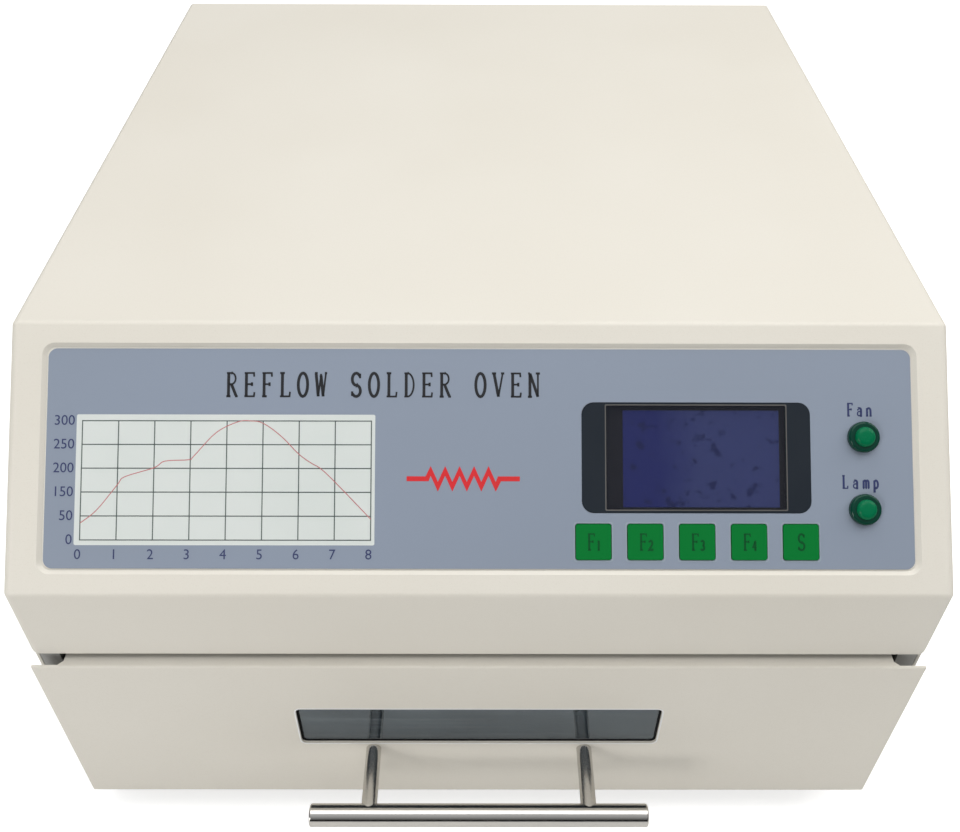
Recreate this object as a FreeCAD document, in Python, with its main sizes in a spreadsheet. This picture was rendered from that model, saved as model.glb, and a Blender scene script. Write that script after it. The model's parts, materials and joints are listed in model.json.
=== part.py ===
import FreeCAD, Part

# Bench reflow oven: a sheet-metal case with a sloping control panel, quartz heaters
# over a slide-out drawer, and mains and fan at the back.
# Millimetres, +Z up, +Y to the back. The origin is on the bench under the middle of the
# oven's box. Pieces are laid out with y = 0 on the front strip and then shifted together.

import os
import re

import Sketcher

Vector = FreeCAD.Vector
Rotation = FreeCAD.Rotation
Placement = FreeCAD.Placement

driving = """
case_width 370, case_depth 412, foot_height 16, foot_radius 11, foot_side_inset 32, foot_end_inset 38
front_lift 2, corner_cut 2.5
front_height 103.4, front_gap 3.4, strip_height 38.5, slope_run 77, slope_drop 74.1
sheet 1.2, bend_radius 3, skirt_setback 3, fit_gap 0.3, wall_height 155, wall_flange 10
front_flange 7, front_flange_overlap 8, panel_inset 1, tail_flange 14, tail_inset 18.5
tail_screw_x 129.5, wall_corner_cut 30, ear_gap 2, foot_taper 2, head_room 1, foot_grip 4
louvre_count 14, louvre_pitch 8, louvre_height 30, louvre_width 3, louvre_y 170, louvre_z 190
screw_radius 2, screw_head_radius 3.6, screw_head_height 2.2, screw_length 8, screw_play 0.15
side_screw_z 80, side_screw_first 60, side_screw_last 62, side_screw_upper_z 205
overlay_width 339.5, overlay_height 86, overlay_radius 3.5, overlay_thickness 0.5
recess_depth 1.5, recess_gap 0.7, recess_slant 45, recess_lip 1.6
window_x 84.85, window_y 0.35, window_width 89.9, window_height 43.5, window_radius 4.8, window_rest 0.6
window_side_rest 4, window_hole_radius 1.8, window_gap 0.05, display_gap 1
display_width 71.5, display_height 41.7, display_depth 6, display_wall 0.5, display_play 0.2
view_x 87.4, view_y 0, view_width 61.8, view_height 38.2, display_left 2.5, display_up 0.45
display_board_width 90, display_board_height 54, display_board_y 3, board_thickness 1.6
key_size 13.8, key_pitch 20.24, key_y -32.5, key_play 0.25, key_proud 0.4, key_travel 0.4
key_flange 1.4, key_flange_thickness 0.8, key_stem 2.5, key_radius 1, key_air 0.1
switch_size 6, switch_height 3.5, switch_stem 1.7
lamp_x 150.35, fan_lamp_y 8.5, heater_lamp_y -19.8, lamp_radius 6.1, lamp_rim 2.6, lamp_bevel 1
lens_radius 3.9, lens_height 1.6, lamp_barrel 4, lamp_length 17, nut_radius 6.6, nut_height 2.5
board_depth 14, board_width 284, board_height 84, standoff_radius 3, board_screw_radius 1.5
board_screw_head 2.8, board_screw_height 1.8, board_screw_inset 4, board_screw_reach 5
shelf_front 110, shelf_gap 12, shelf_play 0.5, power_board_x 30, power_board_width 190, power_board_depth 120
power_gap 99.8, power_lift 8, coil_width 56, coil_depth 46, coil_height 42, coil_x -30
coil_overhang 8, bobbin_inset 10, bobbin_end 8
sink_width 80, sink_depth 22, sink_height 34, fin_count 7, fin_thickness 1.4, sink_base 5, sink_x 48
terminal_width 60, terminal_depth 12, terminal_height 13, terminal_x 20
terminal_inset 12, terminal_pitch 9.5, terminal_well 3, terminal_well_depth 4
inlet_x 112, inlet_z 70, inlet_width 50, inlet_height 40, inlet_flange 3, inlet_body 28.4
inlet_body_height 33, inlet_body_depth 26, socket_width 24, socket_height 16, socket_depth 17
socket_rise 7, pin_width 2, pin_height 4.5, pin_length 14, pin_pitch 7, pin_drop 1
earth_rise 3, inlet_screw_x 20
fuse_slot_width 25, fuse_slot_height 8.4, fuse_drop 9.5, fuse_slot_depth 20, fuse_play 0.2
fuse_radius 2.5, fuse_length 20, fuse_lip 1.5, fuse_travel 14, fuse_setback 12, fuse_room 0.3
rocker_z 128, rocker_width 17.6, rocker_half 10.2, rocker_foot 6, rocker_root 7, rocker_shoulder 1
rocker_crown 3.5, rocker_tip 5.3, rocker_tilt 10, rocker_pivot 1, rocker_pin 1.5, rocker_pin_play 0.05
rocker_pin_end 1.4, switch_play 0.4, switch_cavity_half 11.3, switch_cavity_depth 10.5
switch_wall 2, switch_flange_width 26, switch_flange_height 31, switch_flange 2, switch_body_depth 18
fan_x -95, fan_z 112, fan_size 92, fan_depth 25, fan_bore 43, fan_hole_pitch 82.5, fan_hub 19
fan_hub_thickness 4, fan_spoke 5, fan_axle 2, axle_play 0.05, axle_end_gap 0.5
spoke_root 1, guard_offset 1, rotor_hub 17.6, rotor_gap 1.2, blade_tip 41.5, blade_chord 22
blade_thickness 1.4, blade_tilt 50, blade_count 7, guard_wire 1.1, guard_rings 4, guard_step 10
chamber_side_gap 24.3, chamber_front 22, chamber_gap 6.8, chamber_bottom 62, chamber_top 158
chamber_sheet 1, chamber_lip 122, exhaust_radius 30, blanket_thickness 10, blanket_front 50
reflector_drop 7, reflector_inset 8, reflector_sheet 0.8, reflector_side_gap 3
tube_count 6, tube_first 58, tube_last 50
tube_z 138, tube_radius 6, tube_wall 1.5, coil_radius 2.6, cap_radius 9, cap_length 10, cap_play 0.05
probe_x 60, probe_z 84, probe_radius 1.5, probe_reach 110, probe_tail 4, probe_room 1
drawer_proud 4.4, lip_setback 3, lip_slant 2, drawer_flange_depth 14, front_bend 1, front_corner 0.8
opening_width 159.5, opening_low 43.8, opening_high 71.7, opening_radius 2.5
glass_lap 6, glass_thickness 4, glass_play 0.3, clamp_margin 5, clamp_depth 6.5, screw_room 0.6
post_x 47.7, post_rise 39.3, post_radius 3.4, bar_rise 38.2, bar_radius 4.8, bar_length 146
bar_reach 31, bar_bevel 0.8, thread_spare 1.2, liner_sheet 0.8
liner_inset 5.6, liner_low 6, liner_high 99, liner_depth 19
tray_drop 9, tray_rim 58, tray_gap 13, rack_side_gap 17.6, rack_front 26, rack_gap 11
rack_z 50, rack_rod 2, rack_end_rod 1.9, rack_leg 1.8, rack_wire 1.2, rack_count 13, rack_leg_inset 20
runner_z 42, runner_front 8, runner_tail 1, runner_sheet 1.2, slide_outer_half 17.5
slide_middle_half 13.7, slide_inner_half 9.9, slide_outer_step 1.5, slide_middle_set 3
slide_play 1.7, slide_inner_set 6, slide_width 12.7, ball_radius 1.25, ball_count 7, ball_pitch 24
"""

doc = FreeCAD.newDocument("ReflowOven")
sizes = doc.addObject("Spreadsheet::Sheet", "Sizes")
aliases = []
for row, entry in enumerate(driving.replace("\n", ",").strip(",").split(","), start=1):
    alias, amount = entry.split()
    sizes.set(f"A{row}", alias)
    sizes.set(f"B{row}", amount)
    sizes.setAlias(f"B{row}", alias)
    aliases.append(alias)
doc.recompute()

# Places worked out from the driving sizes.
derived = {
    "rocker_sweep": "rocker_half * sin(rocker_tilt) + rocker_tip * cos(rocker_tilt)",
    "rear_reach": "rocker_sweep - rocker_pivot - panel_inset",
    "front_reach": "drawer_proud + bar_reach + bar_radius",
    "shift": "(front_reach - case_depth - rear_reach) / 2",
    "base": "foot_height",
    "front_low": "foot_height + front_lift",
    "front_high": "front_low + front_height",
    "strip_low": "front_high + front_gap",
    "strip_high": "strip_low + strip_height",
    "top": "strip_high + slope_drop",
    "slope_length": "sqrt(slope_run * slope_run + slope_drop * slope_drop)",
    "half": "case_width / 2",
    "tray_half_outer": "half - sheet - fit_gap",
    "tray_half_inner": "tray_half_outer - sheet",
    "wall_top": "base + wall_height",
    "floor": "base + sheet",
    "panel_back": "case_depth - panel_inset",
    "panel_front": "panel_back - sheet",
    "hood_under": "recess_depth + sheet",
    "overlay_top": "overlay_thickness - recess_depth",
    "key_depth": "overlay_top + key_proud + hood_under + key_play + key_flange_thickness / 2",
    "board_top": "-board_depth",
    "board_under": "-board_depth - board_thickness",
    "display_x": "view_x - display_left",
    "display_y": "view_y + display_up",
    "display_back": "-hood_under - display_gap - display_depth",
    "board_screw_x": "board_width / 2 - board_screw_inset",
    "board_screw_y": "board_height / 2 - board_screw_inset",
    "display_screw_x": "display_board_width / 2 - board_screw_inset",
    "display_screw_y": "display_board_height / 2 - board_screw_inset",
    "shelf_top": "wall_top + sheet",
    "power_under": "shelf_top + power_lift",
    "power_top": "power_under + board_thickness",
    "inlet_face": "panel_back + inlet_flange",
    "rocker_y": "panel_back - rocker_pivot",
    "fan_front": "panel_front - fan_depth",
    "side_screw_step": "(case_depth - side_screw_first - side_screw_last) / 2",
    "power_board_y": "panel_front - power_gap",
    "chamber_half": "tray_half_inner - chamber_side_gap",
    "chamber_back": "fan_front - chamber_gap - blanket_thickness",
    "tube_pitch": "(chamber_back - tube_first - tube_last) / (tube_count - 1)",
    "fan_screw": "fan_hole_pitch / 2",
    "front_face": "-drawer_proud",
    "front_inside": "sheet - drawer_proud",
    "glass_back": "front_inside + glass_thickness",
    "window_mid": "front_low + (opening_low + opening_high) / 2",
    "window_half_height": "(opening_high - opening_low) / 2",
    "bar_y": "front_face - bar_reach",
    "bar_z": "front_low + bar_rise",
    "post_z": "front_low + post_rise",
    "liner_back": "front_inside + liner_depth",
    "runner_face": "tray_half_inner",
    "drawer_half": "tray_half_inner - slide_width",
    "drawer_bottom_half": "tray_half_inner - front_flange - fit_gap",
    "drawer_top_half": "drawer_bottom_half - lip_setback",
    "liner_half": "drawer_half - liner_inset",
    "tray_floor": "front_low + tray_drop",
    "tray_back": "chamber_back - tray_gap",
    "rack_half": "drawer_half - rack_side_gap",
    "rack_back": "tray_back - rack_gap",
    "runner_length": "tray_back + runner_tail - runner_front",
    "runner_middle": "runner_front + runner_length / 2",
    "slide_middle_reach": "slide_width - slide_play",
    "slide_outer_reach": "slide_middle_reach - slide_outer_step",
}


def ex(text):
    """Turn size names into expressions on the sheet."""
    def swap(match):
        word = match.group(0)
        if word in derived:
            return "(" + ex(derived[word]) + ")"
        return "Sizes." + word if word in aliases else word
    return re.sub(r"[a-z]\w*", swap, str(text))


def value(text):
    return float(sizes.evalExpression(ex(text)))


# ---- primitives, placed by the range that they fill along each axis ----

turned = {"x": Rotation(Vector(0, 1, 0), 90), "y": Rotation(Vector(1, 0, 0), -90), "z": Rotation()}


def bind(item, path, text):
    item.setExpression(path, ex(text))


def put(item, where, rotation=None):
    item.Placement = Placement(Vector(), rotation or Rotation())
    for axis, text in zip("xyz", where):
        bind(item, "Placement.Base." + axis, text)
    return item


def block(name, x_range, y_range, z_range):
    item = doc.addObject("Part::Box", name)
    for path, span in zip(("Length", "Width", "Height"), (x_range, y_range, z_range)):
        bind(item, path, f"({span[1]}) - ({span[0]})")
    return put(item, (x_range[0], y_range[0], z_range[0]))


def rod(name, axis, span, across, radius, kind="Part::Cylinder"):
    """A cylinder along an axis; across holds its other two coordinates in x, y, z order."""
    item = doc.addObject(kind, name)
    bind(item, "Height", f"({span[1]}) - ({span[0]})")
    if kind == "Part::Cylinder":
        bind(item, "Radius", radius)
    else:
        bind(item, "Radius1", radius[0])
        bind(item, "Radius2", radius[1])
    where = list(across)
    where.insert("xyz".index(axis), span[0])
    return put(item, where, turned[axis])


def fuse(name, pieces):
    item = doc.addObject("Part::MultiFuse", name)
    item.Shapes = pieces
    return item


def cut(name, base, tools):
    item = doc.addObject("Part::Cut", name)
    item.Base = base
    item.Tool = tools[0] if len(tools) == 1 else fuse(name + "_tools", tools)
    return item


def group(name, pieces):
    item = doc.addObject("Part::Compound", name)
    item.Links = pieces
    return item


def side(sign, near, far):
    """A range from near to far on the right (1) or its mirror image on the left (-1)."""
    return (near, far) if sign > 0 else (f"-({far})", f"-({near})")


def around(centre, extent):
    return f"({centre}) - ({extent}) / 2", f"({centre}) + ({extent}) / 2"


def screw(name, axis, head_at, way, across, length="screw_length"):
    """A pan-head screw whose head stands on head_at and whose shank goes the other way."""
    head = side(way, f"({head_at}) * {way}", f"({head_at}) * {way} + screw_head_height")
    shank = side(way, f"({head_at}) * {way} - {length}", f"({head_at}) * {way}")
    return fuse(name, [rod(name + "_head", axis, head, across, "screw_head_radius"),
                       rod(name + "_shank", axis, shank, across, "screw_radius")])


# ---- sketched bodies ----

def new_body(name):
    return doc.addObject("PartDesign::Body", name)


def polygon(*points):
    return "polygon", points


def rectangle(x_range, y_range):
    return "polygon", ((x_range[0], y_range[0]), (x_range[1], y_range[0]),
                       (x_range[1], y_range[1]), (x_range[0], y_range[1]))


def rounded(x_range, y_range, radius):
    return "rounded", (x_range, y_range, radius)


def circle(x, y, radius):
    return "circle", (x, y, radius)


def fix_point(sketch, geometry, end, point):
    """Hold one end of one line at a place given by expressions."""
    for kind, text in zip(("DistanceX", "DistanceY"), point):
        rule = Sketcher.Constraint(kind, -1, 1, geometry, end, value(text))
        index = sketch.addConstraint(rule)
        sketch.renameConstraint(index, f"{kind.lower()}{geometry}_{end}")
        bind(sketch, f"Constraints.{kind.lower()}{geometry}_{end}", text)


def fix_radius(sketch, geometry, radius):
    index = sketch.addConstraint(Sketcher.Constraint("Radius", geometry, value(radius)))
    sketch.renameConstraint(index, f"radius{geometry}")
    bind(sketch, f"Constraints.radius{geometry}", radius)


def draw_polygon(sketch, points):
    places = [Vector(value(x), value(y), 0) for x, y in points]
    first = sketch.GeometryCount
    for here, there in zip(places, places[1:] + places[:1]):
        sketch.addGeometry(Part.LineSegment(here, there), False)
    for step, point in enumerate(points):
        following = first + (step + 1) % len(points)
        sketch.addConstraint(Sketcher.Constraint("Coincident", first + step, 2, following, 1))
        fix_point(sketch, first + step, 1, point)


def draw_rounded(sketch, x_range, y_range, radius):
    (x0, x1), (y0, y1) = x_range, y_range
    radius = f"({radius})"
    tips = [((f"{x0} + {radius}", y0), (f"{x1} - {radius}", y0)),
            ((x1, f"{y0} + {radius}"), (x1, f"{y1} - {radius}")),
            ((f"{x1} - {radius}", y1), (f"{x0} + {radius}", y1)),
            ((x0, f"{y1} - {radius}"), (x0, f"{y0} + {radius}"))]
    centres = [(f"{x1} - {radius}", f"{y0} + {radius}"), (f"{x1} - {radius}", f"{y1} - {radius}"),
               (f"{x0} + {radius}", f"{y1} - {radius}"), (f"{x0} + {radius}", f"{y0} + {radius}")]
    first = sketch.GeometryCount
    quarter = 1.5707963267948966
    for index in range(4):
        start, end = [Vector(value(x), value(y), 0) for x, y in tips[index]]
        sketch.addGeometry(Part.LineSegment(start, end), False)
        round_off = Part.Circle(Vector(*[value(text) for text in centres[index]], 0),
                                Vector(0, 0, 1), value(radius))
        begin = quarter * (index - 1)
        sketch.addGeometry(Part.ArcOfCircle(round_off, begin, begin + quarter), False)
    for index in range(4):
        line, arc, following = first + 2 * index, first + 2 * index + 1, first + (2 * index + 2) % 8
        sketch.addConstraint(Sketcher.Constraint("Coincident", line, 2, arc, 1))
        sketch.addConstraint(Sketcher.Constraint("Coincident", arc, 2, following, 1))
        fix_point(sketch, line, 1, tips[index][0])
        fix_point(sketch, line, 2, tips[index][1])
        fix_radius(sketch, arc, radius)


def draw_circle(sketch, x, y, radius):
    place = Vector(value(x), value(y), 0)
    index = sketch.addGeometry(Part.Circle(place, Vector(0, 0, 1), value(radius)), False)
    fix_point(sketch, index, 3, (x, y))
    fix_radius(sketch, index, radius)


def draw(body, role, outlines, lift="0", sloping=False):
    """A sketch on one of the body's origin planes, or on the plane of the sloping panel."""
    sketch = body.newObject("Sketcher::SketchObject", body.Name + "_outline")
    plane = next(item for item in body.Origin.OriginFeatures if item.Role == role)
    sketch.AttachmentSupport = [(plane, "")]
    sketch.MapMode = "FlatFace"
    if sloping:
        sketch.AttachmentOffset = Placement(Vector(), Rotation(Vector(1, 0, 0), 45))
        bind(sketch, "AttachmentOffset.Rotation.Angle", "atan(slope_drop / slope_run)")
        bind(sketch, "AttachmentOffset.Base.y", "slope_run / 2")
        bind(sketch, "AttachmentOffset.Base.z", "strip_high + slope_drop / 2")
    else:
        bind(sketch, "AttachmentOffset.Base.z", lift)
    draws = {"polygon": lambda outline: draw_polygon(sketch, outline),
             "rounded": lambda outline: draw_rounded(sketch, *outline),
             "circle": lambda outline: draw_circle(sketch, *outline)}
    for kind, outline in outlines:
        draws[kind](outline)
    return sketch


def sweep(body, kind, sketch, length, both_ways, backwards, taper):
    before = body.Shape.Volume if body.Tip else 0
    feature = body.newObject("PartDesign::" + kind, f"{body.Name}_{kind.lower()}")
    feature.Profile = sketch
    if length == "through":
        feature.Type = "ThroughAll"
    else:
        bind(feature, "Length", length)
    if both_ways:
        feature.SideType = "Symmetric"
    feature.Reversed = backwards
    if taper:
        bind(feature, "TaperAngle", taper)
    doc.recompute()
    change = body.Shape.Volume - before
    if (change if kind == "Pad" else -change) < 0.01:
        raise RuntimeError(f"{feature.Name} changes nothing")
    return feature


def pad(body, sketch, length, both_ways=False, backwards=False):
    return sweep(body, "Pad", sketch, length, both_ways, backwards, None)


def pocket(body, sketch, length="through", both_ways=False, backwards=False, taper=None):
    return sweep(body, "Pocket", sketch, length, both_ways, backwards, taper)


def soften(body, feature, radius, chosen):
    """Round those edges of the last feature for which chosen is true."""
    fillet = body.newObject("PartDesign::Fillet", body.Name + "_fillet")
    names = [f"Edge{number}" for number, edge in enumerate(feature.Shape.Edges, start=1)
             if chosen(edge)]
    fillet.Base = (feature, names)
    bind(fillet, "Radius", radius)
    doc.recompute()
    return fillet


def near(number, text):
    return abs(number - value(text)) < 1e-4


def ends(edge):
    return [vertex.Point for vertex in edge.Vertexes]


# ---- finished pieces ----

nodes = {}


def finish(name, item, sloping=False):
    """Give a piece its own name and its place in the oven."""
    if item.TypeId in ("Part::Box", "Part::Cylinder", "Part::Cone"):
        item = group(name + "_whole", [item])
    item.Label = name
    if sloping:
        item.Placement = Placement(Vector(), Rotation(Vector(1, 0, 0), 45))
        bind(item, "Placement.Rotation.Angle", "atan(slope_drop / slope_run)")
        bind(item, "Placement.Base.y", "slope_run / 2 + shift")
        bind(item, "Placement.Base.z", "strip_high + slope_drop / 2")
    else:
        bind(item, "Placement.Base.y", "shift")
    nodes[name] = item


side_screws = [(f"side_screw_first + side_screw_step * {step}", "side_screw_z") for step in range(3)]
side_screws.append(("panel_front - wall_flange / 2", "side_screw_upper_z"))
lamp_places = {"fan_lamp": "fan_lamp_y", "heater_lamp": "heater_lamp_y"}
key_names = ["key_1", "key_2", "key_3", "key_4", "key_start"]
key_places = {name: f"(window_x + key_pitch * {step - 2})" for step, name in enumerate(key_names)}
fan_corners = [(f"fan_x + ({across}) * fan_screw", f"fan_z + ({up}) * fan_screw")
               for across in (-1, 1) for up in (-1, 1)]
tail_screws = [(place, "base + tail_flange / 2") for place in ("-tail_screw_x", "0", "tail_screw_x")]


# ---- case ----

def make_hood():
    hood = new_body("hood")
    folds = [("0", "strip_low"), ("0", "strip_high"), ("slope_run", "top"), ("case_depth", "top")]
    outline = folds + [("case_depth", "base + sheet"), ("skirt_setback", "base + sheet"),
                       ("skirt_setback", "strip_low")]
    solid = pad(hood, draw(hood, "YZ_Plane", [polygon(*outline)]), "case_width", both_ways=True)

    def folded(places):
        known = [(value(y), value(z)) for y, z in places]

        def chosen(edge):
            tips = [(point.y, point.z) for point in ends(edge)]
            if len(tips) != 2:
                return False
            first, last = [min(range(len(known)), key=lambda index: abs(known[index][0] - y)
                               + abs(known[index][1] - z)) for y, z in tips]
            close = all(abs(known[index][0] - y) + abs(known[index][1] - z) < 1e-4
                        for index, (y, z) in zip((first, last), tips))
            return close and (abs(first - last) == 1 or 0 < first == last < len(known) - 1)
        return chosen

    soften(hood, solid, "bend_radius", folded(folds))
    inner = [("sheet", "base"),
             ("sheet", "strip_high - sheet * (slope_length - slope_drop) / slope_run"),
             ("slope_run + sheet * (slope_length - slope_run) / slope_drop", "top - sheet"),
             ("case_depth + 1", "top - sheet"), ("case_depth + 1", "base")]
    hollow = pocket(hood, draw(hood, "YZ_Plane", [polygon(*inner)]), "case_width - 2 * sheet",
                    both_ways=True)
    inner[0] = ("sheet", "strip_low")
    inner[3] = ("case_depth", "top - sheet")
    soften(hood, hollow, "bend_radius - sheet", folded(inner[:4]))

    wide = around("0", "overlay_width + 2 * recess_gap + 2 * recess_lip + 2 * recess_depth")
    high = around("0", "overlay_height + 2 * recess_gap + 2 * recess_lip + 2 * recess_depth")
    pad(hood, draw(hood, "XY_Plane", [rounded(wide, high, "overlay_radius + recess_lip")],
                   sloping=True), "hood_under", backwards=True)
    wide = around("0", "overlay_width + 2 * recess_gap + 2 * recess_depth")
    high = around("0", "overlay_height + 2 * recess_gap + 2 * recess_depth")
    pocket(hood, draw(hood, "XY_Plane", [rounded(wide, high, "overlay_radius + recess_depth")],
                      sloping=True), "recess_depth", taper="-recess_slant")
    holes = [rounded(around("window_x", "window_width - 2 * window_side_rest"),
                     around("window_y", "window_height - 2 * window_rest"), "window_hole_radius")]
    for x in key_places.values():
        holes.append(rectangle(around(x, "key_size + 2 * key_play"),
                               around("key_y", "key_size + 2 * key_play")))
    for y in lamp_places.values():
        holes.append(circle("lamp_x", y, "lamp_barrel + screw_play"))
    pocket(hood, draw(hood, "XY_Plane", holes, sloping=True), "2 * hood_under")

    slots = [rectangle(around(f"louvre_y + louvre_pitch * {step}", "louvre_width"),
                       around("louvre_z", "louvre_height"))
             for step in range(int(value("louvre_count")))]
    screw_holes = [circle(y, z, "screw_radius + screw_play") for y, z in side_screws]
    pocket(hood, draw(hood, "YZ_Plane", slots + screw_holes), both_ways=True)
    corners = [polygon((f"{sign} * half", "strip_low"), (f"{sign} * (half - corner_cut)", "strip_low"),
                       (f"{sign} * half", "strip_low + corner_cut")) for sign in (-1, 1)]
    pocket(hood, draw(hood, "XZ_Plane", corners), "skirt_setback")
    finish("hood", hood)


def make_base_tray():
    tray = new_body("base_tray")
    wall = [("tray_half_outer", "base"), ("tray_half_outer", "wall_top"),
            ("tray_half_outer - wall_flange", "wall_top"),
            ("tray_half_outer - wall_flange", "wall_top - sheet"),
            ("tray_half_inner", "wall_top - sheet"), ("tray_half_inner", "floor")]
    mirrored = [(f"-({x})", z) for x, z in reversed(wall)]
    pad(tray, draw(tray, "XZ_Plane", [polygon(*wall, *mirrored)], "-skirt_setback"),
        "panel_front - skirt_setback", backwards=True)
    runner_room = "slide_outer_half + 1"
    lips = []
    for sign in (-1, 1):
        lip = side(sign, "tray_half_inner - front_flange", "tray_half_inner")
        lips.append(rectangle(lip, ("floor", f"runner_z - ({runner_room})")))
        lips.append(rectangle(lip, (f"runner_z + {runner_room}", "strip_low + front_flange_overlap")))
    pad(tray, draw(tray, "XZ_Plane", lips, "-skirt_setback"), "sheet", backwards=True)
    tail = rectangle(around("0", "case_width - 2 * tail_inset"), ("floor", "floor + tail_flange"))
    pad(tray, draw(tray, "XZ_Plane", [tail], "-panel_front"), "sheet")
    corner = polygon(("0", "strip_high - strip_height / 2"), ("wall_corner_cut", "wall_top + 1"),
                     ("0", "wall_top + 1"))
    pocket(tray, draw(tray, "YZ_Plane", [corner]), both_ways=True)
    pocket(tray, draw(tray, "YZ_Plane", [circle(y, z, "screw_radius + screw_play")
                                         for y, z in side_screws[:3]]), both_ways=True)
    pocket(tray, draw(tray, "XY_Plane", [circle(x, y, "screw_radius + screw_play")
                                         for x, y in foot_places], "floor"), "sheet")
    pocket(tray, draw(tray, "XZ_Plane", [circle(x, z, "screw_radius + screw_play")
                                         for x, z in tail_screws], "-panel_front"),
           "3 * sheet", both_ways=True)
    finish("base_tray", tray)


foot_places = [(f"{sign} * (half - foot_side_inset)", y) for sign in (-1, 1)
               for y in ("foot_end_inset", "case_depth - foot_end_inset")]


def make_rear_panel():
    panel = new_body("rear_panel")
    plate = rounded(around("0", "2 * half - 2 * sheet - 2 * fit_gap"), ("base", "top - sheet - fit_gap"),
                    "bend_radius")
    pad(panel, draw(panel, "XZ_Plane", [plate], "-panel_back"), "sheet")
    ears = [rectangle(side(sign, "tray_half_inner", "tray_half_outer"),
                      ("wall_top + ear_gap", "top - 4 * bend_radius")) for sign in (-1, 1)]
    pad(panel, draw(panel, "XZ_Plane", ears, "-panel_front"), "wall_flange")
    holes = [circle("fan_x", "fan_z", "fan_bore"),
             rectangle(around("inlet_x", "inlet_body + 2 * fit_gap"),
                       around("inlet_z", "inlet_body_height + 2 * fit_gap")),
             rectangle(around("inlet_x", "rocker_width + 2 * switch_play + 2 * switch_wall + 2 * fit_gap"),
                       around("rocker_z", "2 * switch_cavity_half + 2 * switch_wall + 2 * fit_gap"))]
    screws = fan_corners + tail_screws + [(f"inlet_x + ({sign}) * inlet_screw_x", "inlet_z")
                                          for sign in (-1, 1)]
    holes += [circle(x, z, "screw_radius + screw_play") for x, z in screws]
    pocket(panel, draw(panel, "XZ_Plane", holes, "-panel_back"), "2 * sheet", both_ways=True)
    ear_hole = [circle(y, z, "screw_radius + screw_play") for y, z in side_screws[3:]]
    pocket(panel, draw(panel, "YZ_Plane", ear_hole), both_ways=True)
    finish("rear_panel", panel)


def make_feet_and_screws():
    feet = []
    screws = []
    for index, (x, y) in enumerate(foot_places):
        solid = rod(f"foot_{index}", "z", ("0", "foot_height"), (x, y),
                    ("foot_radius - foot_taper", "foot_radius"), "Part::Cone")
        recess = rod(f"foot_recess_{index}", "z", ("0", "foot_height / 2"), (x, y),
                     "screw_head_radius + head_room")
        hole = rod(f"foot_hole_{index}", "z", ("0", "foot_height"), (x, y),
                   "screw_radius + screw_play")
        feet.append(cut(f"foot_{index}_bored", solid, [recess, hole]))
        screws.append(screw(f"foot_screw_{index}", "z", "foot_height / 2", -1, (x, y),
                            "foot_height / 2 + foot_grip"))
    finish("rubber_feet", group("rubber_feet", feet))
    screws += [screw(f"side_screw_{sign}_{index}", "x", f"{sign} * half", sign, (y, z))
             for sign in (-1, 1) for index, (y, z) in enumerate(side_screws)]
    screws += [screw(f"tail_screw_{index}", "y", "panel_back", 1, place)
            for index, place in enumerate(tail_screws)]
    screws += [screw(f"fan_screw_{index}", "y", "panel_back + 2 * guard_wire", 1, place,
                     "screw_length * 2")
             for index, place in enumerate(fan_corners)]
    screws += [screw(f"inlet_screw_{sign}", "y", "inlet_face", 1,
                   (f"inlet_x + ({sign}) * inlet_screw_x", "inlet_z")) for sign in (-1, 1)]
    finish("casing_screws", group("casing_screws", screws))


# ---- control panel, in the frame of the slope: x across, y up the slope, z out of it ----

def make_overlay():
    overlay = new_body("control_overlay")
    sheet_outline = rounded(around("0", "overlay_width"), around("0", "overlay_height"), "overlay_radius")
    pad(overlay, draw(overlay, "XY_Plane", [sheet_outline], "-recess_depth"), "overlay_thickness")
    holes = [rounded(around("window_x", "window_width"), around("window_y", "window_height"),
                     "window_radius")]
    for x in key_places.values():
        holes.append(rounded(around(x, "key_size + 2 * key_play"),
                             around("key_y", "key_size + 2 * key_play"), "key_radius + key_play"))
    for y in lamp_places.values():
        holes.append(circle("lamp_x", y, "lamp_barrel + screw_play"))
    pocket(overlay, draw(overlay, "XY_Plane", holes, "-recess_depth + overlay_thickness"))
    finish("control_overlay", overlay, sloping=True)
    window = new_body("display_window")
    pane = rounded(around("window_x", "window_width - 2 * window_gap"),
                   around("window_y", "window_height - 2 * window_gap"), "window_radius")
    pad(window, draw(window, "XY_Plane", [pane], "-recess_depth"), "overlay_thickness")
    finish("display_window", window, sloping=True)


def make_display():
    deep = ("display_back", "display_back + display_depth")
    bezel = block("display_can", around("display_x", "display_width"),
                  around("display_y", "display_height"), deep)
    hollow = block("display_hollow", around("display_x", "display_width - 2 * display_wall"),
                   around("display_y", "display_height - 2 * display_wall"),
                   ("display_back", "display_back + display_depth - display_wall"))
    view = block("display_view", around("view_x", "view_width"), around("view_y", "view_height"),
                 ("display_back", "display_back + display_depth + 1"))
    finish("display_bezel", cut("display_bezel", bezel, [hollow, view]), sloping=True)
    inner = "2 * (display_wall + display_play)"
    glass = block("display_glass", around("display_x", f"display_width - {inner}"),
                  around("display_y", f"display_height - {inner}"),
                  ("display_back + 1", "display_back + display_depth - display_wall"))
    finish("display_glass", glass, sloping=True)
    board = block("display_board_blank", around("display_x", "display_board_width"),
                  around("display_board_y", "display_board_height"),
                  ("display_back - board_thickness", "display_back"))
    places = [(f"display_x + ({across}) * display_screw_x",
               f"display_board_y + ({up}) * display_screw_y") for across in (-1, 1) for up in (-1, 1)]
    holes = [rod(f"display_board_hole_{index}", "z", ("display_back - 5", "display_back + 1"), place,
                 "board_screw_radius + screw_play") for index, place in enumerate(places)]
    finish("display_board", cut("display_board", board, holes), sloping=True)
    return places


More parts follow.
